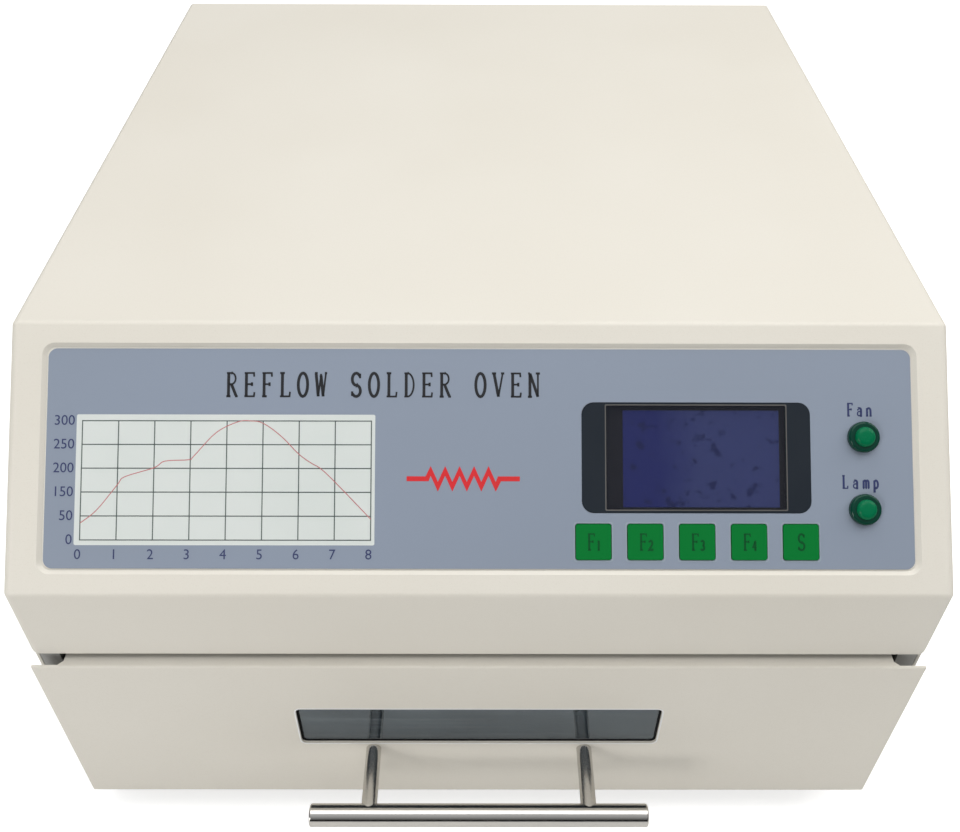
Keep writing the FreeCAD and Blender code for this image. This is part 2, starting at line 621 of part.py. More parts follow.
def make_boards(display_places):
    corners = [(f"({across}) * board_screw_x", f"({up}) * board_screw_y")
               for across in (-1, 1) for up in (-1, 1)]
    blank = block("control_blank", around("0", "board_width"), around("0", "board_height"),
                  ("board_under", "board_top"))
    holes = [rod(f"control_hole_{index}", "z", ("board_under - 1", "board_top + 1"), place,
                 "board_screw_radius + screw_play") for index, place in enumerate(corners)]
    finish("control_board", cut("control_board", blank, holes), sloping=True)
    posts = []
    screws = []
    for index, place in enumerate(corners):
        post = rod(f"post_{index}", "z", ("board_top", "-hood_under"), place, "standoff_radius")
        bore = rod(f"post_bore_{index}", "z", ("board_top", "-hood_under"), place, "board_screw_radius")
        posts.append(cut(f"post_{index}_bored", post, [bore]))
        head = rod(f"post_head_{index}", "z", ("board_under - board_screw_height", "board_under"),
                   place, "board_screw_head")
        shank = rod(f"post_shank_{index}", "z", ("board_under", "board_top + board_screw_reach"), place,
                    "board_screw_radius")
        screws.append(fuse(f"post_screw_{index}", [head, shank]))
    for index, place in enumerate(display_places):
        posts.append(rod(f"spacer_{index}", "z", ("board_top", "display_back - board_thickness"),
                         place, "standoff_radius"))
    finish("board_standoffs", group("board_standoffs", posts), sloping=True)
    finish("board_screws", group("board_screws", screws), sloping=True)


def make_keys():
    switches = []
    for name, x in key_places.items():
        key = new_body(name)
        cap = rounded(around(x, "key_size"), around("key_y", "key_size"), "key_radius")
        pad(key, draw(key, "XY_Plane", [cap], "overlay_top + key_proud"), "key_depth", backwards=True)
        flange = rectangle(around(x, "key_size + 2 * key_flange"),
                           around("key_y", "key_size + 2 * key_flange"))
        pad(key, draw(key, "XY_Plane", [flange], "-hood_under - key_play"), "key_flange_thickness",
            backwards=True)
        stem_top = "-hood_under - key_play - key_flange_thickness"
        key_bottom = "board_top + switch_height + key_travel + key_air"
        pad(key, draw(key, "XY_Plane", [circle(x, "key_y", "key_stem")], key_bottom),
            f"({stem_top}) - ({key_bottom})")
        finish(name, key, sloping=True)
        can = block(name + "_can", around(x, "switch_size"), around("key_y", "switch_size"),
                    ("board_top", "board_top + switch_height"))
        button = rod(name + "_button", "z", ("board_top", "board_top + switch_height + key_travel / 4"),
                     (x, "key_y"), "switch_stem")
        switches.append(fuse(name + "_switch", [can, button]))
    finish("key_switches", group("key_switches", switches), sloping=True)


def make_lamps():
    nuts = []
    for name, y in lamp_places.items():
        lamp = new_body(name)
        rim = pad(lamp, draw(lamp, "XY_Plane", [circle("lamp_x", y, "lamp_radius")], "overlay_top"),
                  "lamp_rim")
        soften(lamp, rim, "lamp_bevel",
               lambda edge: all(near(point.z, "overlay_top + lamp_rim") for point in ends(edge)))
        pad(lamp, draw(lamp, "XY_Plane", [circle("lamp_x", y, "lamp_barrel")], "overlay_top"),
            "lamp_length", backwards=True)
        lens = pad(lamp, draw(lamp, "XY_Plane", [circle("lamp_x", y, "lens_radius")],
                              "overlay_top + lamp_rim"), "lens_height")
        soften(lamp, lens, "lens_height * 0.9",
               lambda edge: all(near(point.z, "overlay_top + lamp_rim + lens_height")
                                for point in ends(edge)))
        finish(name, lamp, sloping=True)
        nut = doc.addObject("Part::Prism", name + "_nut_blank")
        nut.Polygon = 6
        bind(nut, "Circumradius", "nut_radius")
        bind(nut, "Height", "nut_height")
        put(nut, ("lamp_x", y, "-hood_under - nut_height"))
        bore = rod(name + "_nut_bore", "z", ("-hood_under - nut_height", "-hood_under"), ("lamp_x", y),
                   "lamp_barrel")
        nuts.append(cut(name + "_nut", nut, [bore]))
    finish("lamp_nuts", group("lamp_nuts", nuts), sloping=True)


# ---- power ----

def make_power():
    across = around("0", "2 * tray_half_outer - 2 * shelf_play")
    shelf = block("shelf_blank", across, ("shelf_front", "panel_front - shelf_gap"),
                  ("wall_top", "shelf_top"))
    corners = [(f"power_board_x + ({step}) * (power_board_width / 2 - board_screw_inset)",
                f"power_board_y + ({back}) * (power_board_depth / 2 - board_screw_inset)")
               for step in (-1, 1) for back in (-1, 1)]
    holes = [rod(f"shelf_hole_{index}", "z", ("wall_top - 1", "shelf_top + 1"), place,
                 "board_screw_radius + screw_play") for index, place in enumerate(corners)]
    sheet_part = cut("shelf_drilled", shelf, holes)
    board = block("power_blank", around("power_board_x", "power_board_width"),
                  around("power_board_y", "power_board_depth"), ("power_under", "power_top"))
    posts = [rod(f"power_post_{index}", "z", ("shelf_top", "power_under"), place, "standoff_radius")
             for index, place in enumerate(corners)]
    finish("electronics_shelf", fuse("electronics_shelf", [sheet_part] + posts))
    finish("power_board", board)
    coil_x = around("power_board_x + coil_x", "coil_width")
    coil_y = around("power_board_y", "coil_depth")
    core = block("coil_core", coil_x, around("power_board_y", "coil_depth - 2 * coil_overhang"),
                 ("power_top", "power_top + coil_height"))
    bobbin = block("coil_bobbin", around("power_board_x + coil_x", "coil_width - 2 * bobbin_inset"), coil_y,
                   ("power_top + bobbin_end", "power_top + coil_height - bobbin_end"))
    finish("transformer", fuse("transformer", [core, bobbin]))
    sink_y = ("power_board_y - sink_depth / 2", "power_board_y + sink_depth / 2")
    sink = [block("sink_base_plate", around("power_board_x + sink_x", "sink_width"),
                  (sink_y[0], f"{sink_y[0]} + sink_base"), ("power_top", "power_top + sink_height"))]
    for step in range(int(value("fin_count"))):
        left = f"power_board_x + sink_x - sink_width / 2 + {step}" \
               " * (sink_width - fin_thickness) / (fin_count - 1)"
        sink.append(block(f"fin_{step}", (left, f"{left} + fin_thickness"), sink_y,
                          ("power_top", "power_top + sink_height")))
    finish("heat_sink", fuse("heat_sink", sink))
    row = "power_board_y - power_board_depth / 2 + terminal_inset"
    strip = block("terminal_body", around("power_board_x + terminal_x", "terminal_width"),
                  around(row, "terminal_depth"), ("power_top", "power_top + terminal_height"))
    deep = ("power_top + terminal_height - terminal_well_depth", "power_top + terminal_height")
    wells = [rod(f"terminal_well_{step}", "z", deep,
                 (f"power_board_x + terminal_x + ({step} - 2.5) * terminal_pitch", row), "terminal_well")
             for step in range(6)]
    finish("terminal_block", cut("terminal_block", strip, wells))


def make_mains():
    plate = block("inlet_plate", around("inlet_x", "inlet_width"), ("panel_back", "inlet_face"),
                  around("inlet_z", "inlet_height"))
    barrel = block("inlet_barrel", around("inlet_x", "inlet_body"),
                   ("panel_back - inlet_body_depth", "panel_back"),
                   around("inlet_z", "inlet_body_height"))
    socket = block("inlet_socket_room", around("inlet_x", "socket_width"),
                   ("inlet_face - socket_depth", "inlet_face + 1"),
                   around("inlet_z + socket_rise", "socket_height"))
    slot = block("fuse_slot", around("inlet_x", "fuse_slot_width"),
                 ("inlet_face - fuse_slot_depth", "inlet_face + 1"),
                 around("inlet_z - fuse_drop", "fuse_slot_height"))
    ears = [rod(f"inlet_ear_{sign}", "y", ("panel_back", "inlet_face"),
                (f"inlet_x + ({sign}) * inlet_screw_x", "inlet_z"), "screw_radius + screw_play")
            for sign in (-1, 1)]
    finish("inlet_socket", cut("inlet_socket", fuse("inlet_shell", [plate, barrel]), [socket, slot] + ears))
    pins = []
    for step, rise in ((-1, "0"), (0, "earth_rise"), (1, "0")):
        pins.append(block(f"inlet_pin_{step}", around(f"inlet_x + ({step}) * pin_pitch", "pin_width"),
                          ("inlet_face - socket_depth", "inlet_face - socket_depth + pin_length"),
                          around(f"inlet_z + socket_rise + {rise} - pin_drop", "pin_height")))
    finish("inlet_pins", group("inlet_pins", pins))
    box = block("fuse_box", around("inlet_x", "fuse_slot_width - 2 * fuse_play"),
                ("inlet_face - fuse_slot_depth + 1", "inlet_face + fuse_lip"),
                around("inlet_z - fuse_drop", "fuse_slot_height - 2 * fuse_play"))
    trough = block("fuse_trough", around("inlet_x", "fuse_length + 2 * fuse_room"),
                   around("inlet_face - fuse_setback", "2 * fuse_radius + 2 * fuse_room"),
                   ("inlet_z - fuse_drop - fuse_radius", "inlet_z"))
    finish("fuse_drawer", cut("fuse_drawer", box, [trough]))
    finish("fuse", rod("fuse_tube", "x", around("inlet_x", "fuse_length"),
                       ("inlet_face - fuse_setback", "inlet_z - fuse_drop"), "fuse_radius"))


def make_power_switch():
    cavity_wide = "rocker_width + 2 * switch_play"
    plate = block("switch_plate", around("inlet_x", "switch_flange_width"),
                  ("panel_back", "panel_back + switch_flange"), around("rocker_z", "switch_flange_height"))
    barrel = block("switch_barrel", around("inlet_x", f"{cavity_wide} + 2 * switch_wall"),
                   ("panel_back - switch_body_depth", "panel_back"),
                   around("rocker_z", "2 * switch_cavity_half + 2 * switch_wall"))
    room = block("switch_room", around("inlet_x", cavity_wide),
                 ("panel_back - switch_cavity_depth", "panel_back + switch_flange + 1"),
                 around("rocker_z", "2 * switch_cavity_half"))
    bearing = rod("switch_bearing", "x", around("inlet_x", f"{cavity_wide} + 2 * switch_wall"),
                  ("rocker_y", "rocker_z"), "rocker_pin + rocker_pin_play")
    finish("switch_housing", cut("switch_housing", fuse("switch_shell", [plate, barrel]), [room, bearing]))

    rocker = new_body("switch_rocker")
    outline = polygon(("rocker_root", "rocker_foot"), ("rocker_root", "-rocker_foot"),
                      ("rocker_shoulder", "-rocker_half"), ("-rocker_tip", "-rocker_half"),
                      ("-rocker_crown", "0"), ("-rocker_tip", "rocker_half"),
                      ("rocker_shoulder", "rocker_half"))
    flipped = [(x[1:] if x.startswith("-") else "-" + x, y) for x, y in outline[1]]
    pad(rocker, draw(rocker, "YZ_Plane", [polygon(*flipped)]), "rocker_width", both_ways=True)
    pad(rocker, draw(rocker, "YZ_Plane", [circle("0", "0", "rocker_pin")]),
        "rocker_width + 2 * rocker_pin_end", both_ways=True)
    rocker.Label = "switch_rocker"
    rocker.Placement = Placement(Vector(), Rotation(Vector(1, 0, 0), 10))
    bind(rocker, "Placement.Rotation.Angle", "rocker_tilt")
    bind(rocker, "Placement.Base.x", "inlet_x")
    bind(rocker, "Placement.Base.y", "rocker_y + shift")
    bind(rocker, "Placement.Base.z", "rocker_z")
    nodes["switch_rocker"] = rocker


# ---- exhaust fan ----

def make_fan():
    deep = ("fan_front", "panel_front")
    middle = ("fan_x", "fan_z")
    blank = block("fan_blank", around("fan_x", "fan_size"), deep, around("fan_z", "fan_size"))
    holes = [rod(f"fan_hole_{index}", "y", deep, place, "screw_radius + screw_play")
             for index, place in enumerate(fan_corners)]
    holes.append(rod("fan_bore_hole", "y", deep, middle, "fan_bore"))
    ring = cut("fan_ring", blank, holes)
    plate = ("fan_front", "fan_front + fan_hub_thickness")
    spokes = [block("fan_spoke_flat", around("fan_x", "2 * (fan_bore + spoke_root)"), plate,
                    around("fan_z", "fan_spoke")),
              block("fan_spoke_tall", around("fan_x", "fan_spoke"), plate,
                    around("fan_z", "2 * (fan_bore + spoke_root)"))]
    hub = rod("fan_hub_plate", "y", plate, middle, "fan_hub")
    axle = rod("fan_axle", "y", ("fan_front", "fan_front + fan_depth / 2"), middle, "fan_axle")
    finish("fan_frame", fuse("fan_frame", [ring, hub, axle] + spokes))

    rotor_deep = ("fan_front + fan_hub_thickness + rotor_gap", "panel_front - rotor_gap")
    rotor_middle = "(fan_front + fan_hub_thickness + panel_front) / 2"
    parts = [rod("rotor_hub_solid", "y", rotor_deep, middle, "rotor_hub")]
    for index in range(int(value("blade_count"))):
        blade = doc.addObject("Part::Box", f"blade_{index}")
        bind(blade, "Length", "blade_tip - rotor_hub + 1")
        bind(blade, "Width", "blade_thickness")
        bind(blade, "Height", "blade_chord")
        spin = Rotation(Vector(0, 1, 0), 360.0 * index / value("blade_count"))
        twist = Rotation(Vector(1, 0, 0), value("blade_tilt"))
        corner = Vector(value("rotor_hub") - 1, 0, 0)
        offset = twist.multVec(Vector(0, -value("blade_thickness") / 2, -value("blade_chord") / 2))
        centre = Vector(value("fan_x"), value(rotor_middle), value("fan_z"))
        blade.Placement = Placement(centre + spin.multVec(corner + offset), spin.multiply(twist))
        parts.append(blade)
    bearing = rod("rotor_bearing", "y", (rotor_deep[0], "fan_front + fan_depth / 2 + axle_end_gap"),
                  middle, "fan_axle + axle_play")
    finish("fan_rotor", cut("fan_rotor", fuse("fan_wheel", parts), [bearing]))

    wires = []
    for index in range(int(value("guard_rings"))):
        ring = doc.addObject("Part::Torus", f"guard_ring_{index}")
        bind(ring, "Radius1", f"guard_step * {index + 1} + guard_offset")
        bind(ring, "Radius2", "guard_wire")
        wires.append(put(ring, ("fan_x", "panel_back + guard_wire", "fan_z"), turned["y"]))
    for way in (-1, 1):
        for sign in (-1, 1):
            spoke = doc.addObject("Part::Cylinder", f"guard_spoke_{way}_{sign}")
            bind(spoke, "Radius", "guard_wire")
            bind(spoke, "Height", "fan_screw * sqrt(2) - guard_step - screw_head_radius")
            direction = Vector(way, 0, sign)
            start = "({}) * (guard_step + guard_offset) / sqrt(2)"
            put(spoke, (f"fan_x + {start.format(way)}", "panel_back + guard_wire",
                        f"fan_z + {start.format(sign)}"), Rotation(Vector(0, 0, 1), direction))
            wires.append(spoke)
    eyes = [cut(f"guard_eye_{index}_ring",
                rod(f"guard_eye_{index}", "y", ("panel_back", "panel_back + 2 * guard_wire"), place,
                    "screw_head_radius + head_room"),
                [rod(f"guard_eye_hole_{index}", "y", ("panel_back", "panel_back + 2 * guard_wire"), place,
                     "screw_radius + screw_play")]) for index, place in enumerate(fan_corners)]
    finish("fan_guard", fuse("fan_guard", wires + eyes))


# ---- heating chamber ----

def make_chamber():
    outer = block("chamber_blank", around("0", "2 * chamber_half"), ("chamber_front", "chamber_back"),
                  ("chamber_bottom", "chamber_top"))
    room = block("chamber_room", around("0", "2 * chamber_half - 2 * chamber_sheet"),
                 ("chamber_front + chamber_sheet", "chamber_back - chamber_sheet"),
                 ("chamber_bottom - 1", "chamber_top - chamber_sheet"))
    mouth = block("chamber_mouth", around("0", "2 * chamber_half - 2 * chamber_sheet"),
                  ("chamber_front - 1", "chamber_front + chamber_sheet + 1"),
                  ("chamber_bottom - 1", "chamber_lip"))
    exhaust = rod("chamber_exhaust", "y", ("chamber_back - 5", "chamber_back + 1"), ("fan_x", "fan_z"),
                  "exhaust_radius")
    probe_holes = [rod(f"chamber_probe_{sign}", "y", ("chamber_back - 5", "chamber_back + 1"),
                       (f"({sign}) * probe_x", "probe_z"), "probe_radius + cap_play") for sign in (-1, 1)]
    finish("chamber_shell", cut("chamber_shell", outer, [room, mouth, exhaust] + probe_holes))

    wrap = block("blanket_blank", around("0", "2 * chamber_half + 2 * blanket_thickness"),
                 ("blanket_front", "chamber_back + blanket_thickness"),
                 ("chamber_bottom", "chamber_top + blanket_thickness"))
    inside = block("blanket_room", around("0", "2 * chamber_half"), ("blanket_front - 1", "chamber_back"),
                   ("chamber_bottom - 1", "chamber_top"))
    vent = rod("blanket_vent", "y", ("chamber_back - 1", "chamber_back + blanket_thickness + 1"),
               ("fan_x", "fan_z"), "exhaust_radius")
    through = ("chamber_back - 1", "chamber_back + blanket_thickness + 1")
    passages = [rod(f"blanket_probe_{sign}", "y", through, (f"({sign}) * probe_x", "probe_z"),
                    "probe_radius + probe_room") for sign in (-1, 1)]
    finish("insulation_blanket", cut("insulation_blanket", wrap, [inside, vent] + passages))

    ceiling = "chamber_top - chamber_sheet"
    mirror_x = around("0", "2 * (chamber_half - chamber_sheet - cap_length - reflector_side_gap)")
    mirror_y = ("chamber_front + reflector_inset", "chamber_back - reflector_inset")
    blank = block("reflector_blank", mirror_x, mirror_y, (f"{ceiling} - reflector_drop", ceiling))
    inner = block("reflector_room", mirror_x,
                  (f"{mirror_y[0]} + reflector_sheet", f"{mirror_y[1]} - reflector_sheet"),
                  (f"{ceiling} - reflector_drop + reflector_sheet", f"{ceiling} + 1"))
    finish("reflector", cut("reflector", blank, [inner]))

    tubes = []
    coils = []
    caps = []
    wall = "(chamber_half - chamber_sheet)"
    for index in range(int(value("tube_count"))):
        place = (f"tube_first + tube_pitch * {index}", "tube_z")
        reach = around("0", f"2 * {wall} - cap_length")
        tube = rod(f"tube_{index}", "x", reach, place, "tube_radius")
        bore = rod(f"tube_bore_{index}", "x", reach, place, "tube_radius - tube_wall")
        tubes.append(cut(f"tube_{index}_drawn", tube, [bore]))
        coils.append(rod(f"element_{index}", "x", around("0", f"2 * {wall}"), place, "coil_radius"))
        for sign in (-1, 1):
            cap = rod(f"cap_{index}_{sign}", "x", side(sign, f"{wall} - cap_length", wall), place,
                      "cap_radius")
            seat = rod(f"cap_seat_{index}_{sign}", "x",
                       side(sign, f"{wall} - cap_length - 1", f"{wall} - cap_length / 2"), place,
                       "tube_radius + cap_play")
            duct = rod(f"cap_duct_{index}_{sign}", "x", side(sign, f"{wall} - cap_length", f"{wall} + 1"),
                       place, "coil_radius + cap_play")
            caps.append(cut(f"cap_{index}_{sign}_bored", cap, [seat, duct]))
    finish("quartz_tubes", group("quartz_tubes", tubes))
    finish("heater_elements", group("heater_elements", coils))
    finish("heater_caps", group("heater_caps", caps))
    deep = ("chamber_back - probe_reach", "chamber_back + blanket_thickness + probe_tail")
    probes = [rod(f"probe_{sign}", "y", deep, (f"({sign}) * probe_x", "probe_z"), "probe_radius")
              for sign in (-1, 1)]
    finish("thermocouples", group("thermocouples", probes))


# ---- drawer ----

def make_drawer_front():
    front = new_body("drawer_front")
    face = rounded(around("0", "case_width"), ("front_low", "front_high"), "front_corner")
    pad(front, draw(front, "XZ_Plane", [face], "-front_inside"), "sheet")
    back = "front_inside + drawer_flange_depth"
    slanted = [("drawer_top_half + lip_slant", "front_inside"),
               ("drawer_top_half", "front_inside + lip_slant"), ("drawer_top_half", back)]
    mirrored = [(f"-({x})", y) for x, y in reversed(slanted)]
    pad(front, draw(front, "XY_Plane", [polygon(*slanted, *mirrored)], "front_high - sheet"), "sheet")
    bottom_lip = rectangle(around("0", "2 * drawer_bottom_half"), ("front_low", "front_low + sheet"))
    lips = pad(front, draw(front, "XZ_Plane", [bottom_lip], "-front_inside"),
               "drawer_flange_depth", backwards=True)
    soften(front, lips, "front_bend",
           lambda edge: all(near(point.y, "front_face") and near(abs(point.z - value("window_mid")),
                            "front_high - window_mid") for point in ends(edge)))
    opening = rounded(around("0", "opening_width"), ("front_low + opening_low", "front_low + opening_high"),
                      "opening_radius")
    holes = [opening] + [circle(f"({sign}) * post_x", "post_z", "screw_radius + screw_play")
                         for sign in (-1, 1)]
    pocket(front, draw(front, "XZ_Plane", holes, "-front_face"), "3 * sheet", both_ways=True)
    finish("drawer_front", front)


def make_window():
    lap = "glass_lap"
    glass_wide = around("0", f"opening_width + 2 * {lap}")
    glass_high = around("window_mid", f"2 * window_half_height + 2 * {lap}")
    glass = block("glass_pane", glass_wide, ("front_inside", "glass_back"), glass_high)
    holes = [rod(f"glass_notch_{sign}", "y", ("front_inside - 1", "glass_back + 1"),
                 (f"({sign}) * post_x", "post_z"), "screw_head_radius + screw_room") for sign in (-1, 1)]
    finish("window_glass", cut("window_glass", glass, holes))
    room = f"2 * {lap} + 2 * glass_play"
    blank = block("clamp_blank", around("0", f"opening_width + {room} + 2 * clamp_margin"),
                  ("front_inside", "front_inside + clamp_depth"),
                  around("window_mid", f"2 * window_half_height + {room} + 2 * clamp_margin"))
    seat = block("clamp_seat", around("0", f"opening_width + {room}"), ("front_inside - 1", "glass_back"),
                 around("window_mid", f"2 * window_half_height + {room}"))
    view = block("clamp_view", around("0", "opening_width"),
                 ("front_inside - 1", "front_inside + clamp_depth + 1"),
                 around("window_mid", "2 * window_half_height"))
    notches = [rod(f"clamp_notch_{sign}", "y", ("front_inside - 1", "front_inside + clamp_depth + 1"),
                   (f"({sign}) * post_x", "post_z"), "screw_head_radius + screw_room") for sign in (-1, 1)]
    finish("window_clamp", cut("window_clamp", blank, [seat, view] + notches))


def make_handle():
    bar = new_body("handle_bar")
    rounder = pad(bar, draw(bar, "YZ_Plane", [circle("bar_y", "bar_z", "bar_radius")]), "bar_length",
                  both_ways=True)
    soften(bar, rounder, "bar_bevel", lambda edge: len(edge.Vertexes) == 1)
    finish("handle_bar", bar)
    posts = []
    screws = []
    thread_end = "front_inside - screw_length - thread_spare"
    for sign in (-1, 1):
        place = (f"({sign}) * post_x", "post_z")
        post = rod(f"post_{sign}", "y", ("bar_y", "front_face"), place, "post_radius")
        saddle = rod(f"saddle_{sign}", "x", around(f"({sign}) * post_x", "4 * post_radius"),
                     ("bar_y", "bar_z"), "bar_radius")
        thread = rod(f"post_thread_{sign}", "y", (thread_end, "front_face"), place, "screw_radius")
        posts.append(cut(f"post_{sign}_turned", post, [saddle, thread]))
        screws.append(screw(f"handle_screw_{sign}", "y", "front_inside", 1, place, "screw_length"))
    finish("handle_posts", group("handle_posts", posts))
    finish("handle_screws", group("handle_screws", screws))


def make_liner():
    low, high = "front_low + liner_low", "front_low + liner_high"
    blank = block("liner_blank", around("0", "2 * liner_half"), ("front_inside", "liner_back"), (low, high))
    room = block("liner_room", around("0", "2 * liner_half - 2 * liner_sheet"),
                 ("front_inside - 1", "liner_back - liner_sheet"),
                 (f"{low} + liner_sheet", f"{high} - liner_sheet"))
    view = block("liner_view", around("0", "opening_width"), ("front_inside", "liner_back + 1"),
                 around("window_mid", "2 * window_half_height"))
    finish("drawer_liner", cut("drawer_liner", blank, [room, view]))


def make_tray():
    blank = block("tray_blank", around("0", "2 * drawer_half"), ("liner_back", "tray_back"),
                  ("tray_floor", "tray_rim"))
    room = block("tray_room", around("0", "2 * drawer_half - 2 * sheet"),
                 ("liner_back + sheet", "tray_back - sheet"), ("tray_floor + sheet", "tray_rim + 1"))
    finish("drawer_tray", cut("drawer_tray", blank, [room]))
    long_rods = [rod(f"rack_long_{sign}", "y", ("rack_front", "rack_back"),
                     (f"({sign}) * rack_half", "rack_z"), "rack_rod") for sign in (-1, 1)]
    cross_rods = [rod(f"rack_end_{step}", "x", around("0", "2 * rack_half"),
                      (f"rack_front + rack_rod + {step} * (rack_back - rack_front - 2 * rack_rod)", "rack_z"),
                      "rack_end_rod") for step in (0, 1)]
    count = int(value("rack_count"))
    wires = [rod(f"rack_wire_{index}", "y", ("rack_front + rack_rod", "rack_back - rack_rod"),
                 (f"rack_half * {2 * (index + 1)} / {count + 1} - rack_half", "rack_z"), "rack_wire")
             for index in range(count)]
    leg_rows = ("rack_front + rack_leg_inset", "rack_back - rack_leg_inset")
    legs = [rod(f"rack_leg_{sign}_{index}", "z", ("tray_floor + sheet", "rack_z"),
                (f"({sign}) * rack_half", y), "rack_leg")
            for sign in (-1, 1) for index, y in enumerate(leg_rows)]
    finish("board_rack", fuse("board_rack", long_rods + cross_rods + wires + legs))


# ---- drawer runners: three nested channels a side, on two rows of balls each ----

def make_runners():
    members = {"outer": ("0", "slide_outer_reach", "slide_outer_half"),
               "middle": ("slide_middle_set", "slide_middle_reach", "slide_middle_half"),
               "inner": ("slide_width", "slide_inner_set", "slide_inner_half")}
    for hand, sign in (("left", -1), ("right", 1)):
        for member, (web, reach, half_height) in members.items():
            runner = new_body(f"runner_{hand}_{member}")
            wall = "-runner_sheet" if member == "inner" else "runner_sheet"
            lower = [(web, "0"), (reach, "0"), (reach, "runner_sheet"), (f"{web} + {wall}", "runner_sheet")]
            points = [(depth, f"{height} - {half_height}") for depth, height in lower]
            points += [(depth, f"{half_height} - {height}") for depth, height in reversed(lower)]
            section = [(f"{sign} * (runner_face - ({depth}))", f"runner_z + ({height})")
                       for depth, height in points]
            pad(runner, draw(runner, "XZ_Plane", [polygon(*section)], "-runner_front"), "runner_length",
                backwards=True)
            finish(f"runner_{hand}_{member}", runner)
    rows = {"outer": ("slide_outer_half", "slide_middle_half", "(slide_middle_set + slide_outer_reach) / 2"),
            "inner": ("slide_middle_half", "slide_inner_half", "(slide_inner_set + slide_middle_reach) / 2")}
    for name, (outside, inside, depth) in rows.items():
        balls = []
        height = f"({outside} - runner_sheet + {inside}) / 2"
        for sign in (-1, 1):
            for up in (-1, 1):
                for index in range(int(value("ball_count"))):
                    ball = doc.addObject("Part::Sphere", f"ball_{name}_{sign}_{up}_{index}")
                    bind(ball, "Radius", "ball_radius")
                    along = f"runner_middle + ball_pitch * ({index} - (ball_count - 1) / 2)"
                    put(ball, (f"{sign} * (runner_face - {depth})", along,
                               f"runner_z + ({up}) * {height}"))
                    balls.append(ball)
        finish(f"runner_balls_{name}", group(f"runner_balls_{name}", balls))


make_hood()
make_base_tray()
make_rear_panel()
make_feet_and_screws()
make_overlay()
make_boards(make_display())
make_keys()
make_lamps()
make_power()
make_mains()
make_power_switch()
make_fan()
make_chamber()
make_drawer_front()
make_window()
make_handle()
make_liner()
make_tray()
make_runners()

doc.recompute()
for item in doc.Objects:
    if {"Invalid", "Error"} & set(item.State):
        raise RuntimeError(f"{item.Name} failed: {item.State}")
os.makedirs("parts", exist_ok=True)
for name, item in nodes.items():
    if item.Shape.isNull() or not item.Shape.isValid() or item.Shape.Volume <= 0:
        raise RuntimeError(f"{name} has no valid solid")
    item.Shape.exportStep(f"parts/{name}.step")
print(len(nodes), "pieces written")
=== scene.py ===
import json
import math

import bmesh
import bpy
from mathutils import Matrix, Vector


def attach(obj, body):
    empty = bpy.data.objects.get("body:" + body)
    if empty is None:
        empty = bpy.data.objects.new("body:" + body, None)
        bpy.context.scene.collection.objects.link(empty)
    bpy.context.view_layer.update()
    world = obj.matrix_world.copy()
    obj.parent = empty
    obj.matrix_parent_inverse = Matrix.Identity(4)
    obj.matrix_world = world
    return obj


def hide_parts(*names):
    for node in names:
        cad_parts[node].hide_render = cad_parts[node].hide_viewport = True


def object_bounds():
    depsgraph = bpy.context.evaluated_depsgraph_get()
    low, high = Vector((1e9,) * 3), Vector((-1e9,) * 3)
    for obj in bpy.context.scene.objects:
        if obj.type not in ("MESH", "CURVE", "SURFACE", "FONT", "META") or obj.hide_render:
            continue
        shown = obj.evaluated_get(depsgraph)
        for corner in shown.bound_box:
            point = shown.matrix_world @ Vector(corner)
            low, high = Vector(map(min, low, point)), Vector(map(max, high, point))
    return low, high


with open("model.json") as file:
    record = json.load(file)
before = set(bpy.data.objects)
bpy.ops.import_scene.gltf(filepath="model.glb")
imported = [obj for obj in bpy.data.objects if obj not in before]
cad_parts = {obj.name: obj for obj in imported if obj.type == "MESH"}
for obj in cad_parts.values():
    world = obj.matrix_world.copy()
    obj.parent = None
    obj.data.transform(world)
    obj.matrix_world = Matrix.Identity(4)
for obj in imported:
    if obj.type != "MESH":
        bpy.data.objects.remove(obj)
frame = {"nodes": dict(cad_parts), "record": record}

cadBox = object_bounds()
nodes = frame["nodes"]
mm = 0.001
mergeDistance = 0.002 * mm
print("frame loaded:", len(nodes), "pieces")


def addObject(name, data):
    holder = bpy.data.objects.new(name, data)
    bpy.context.scene.collection.objects.link(holder)
    return holder


def meshFromBmesh(name, work):
    mesh = bpy.data.meshes.new(name)
    work.to_mesh(mesh)
    work.free()
    return mesh


def evaluatedMesh(holder):
    return bpy.data.meshes.new_from_object(holder.evaluated_get(bpy.context.evaluated_depsgraph_get()))


def smoothFaces(mesh, angle):
    mesh.polygons.foreach_set("use_smooth", [True] * len(mesh.polygons))
    mesh.set_sharp_from_angle(angle=math.radians(angle))


def pieceFromMesh(name, mesh, body, material=None):
    piece = addObject(name, mesh)
    if material:
        mesh.materials.append(material)
    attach(piece, body)
    return piece


def pieceFromBmesh(name, work, body, material, place=None, smoothAngle=None):
    bmesh.ops.recalc_face_normals(work, faces=work.faces)
    mesh = meshFromBmesh(name, work)
    if place:
        mesh.transform(place)
    if smoothAngle:
        smoothFaces(mesh, smoothAngle)
    return pieceFromMesh(name, mesh, body, material)


def addPrism(work, outline, low, high):
    bottom = [work.verts.new((x, y, low)) for x, y in outline]
    top = [work.verts.new((x, y, high)) for x, y in outline]
    work.faces.new(bottom[::-1])
    work.faces.new(top)
    for index in range(len(outline)):
        after = (index + 1) % len(outline)
        work.faces.new((bottom[index], bottom[after], top[after], top[index]))


def addRing(work, outer, inner, low, high):
    rows = [[work.verts.new((x, y, z)) for x, y in edge]
            for edge, z in ((outer, low), (inner, low), (inner, high), (outer, high))]
    for row, following in zip(rows, rows[1:] + rows[:1]):
        for index in range(len(row)):
            after = (index + 1) % len(row)
            work.faces.new((row[index], row[after], following[after], following[index]))


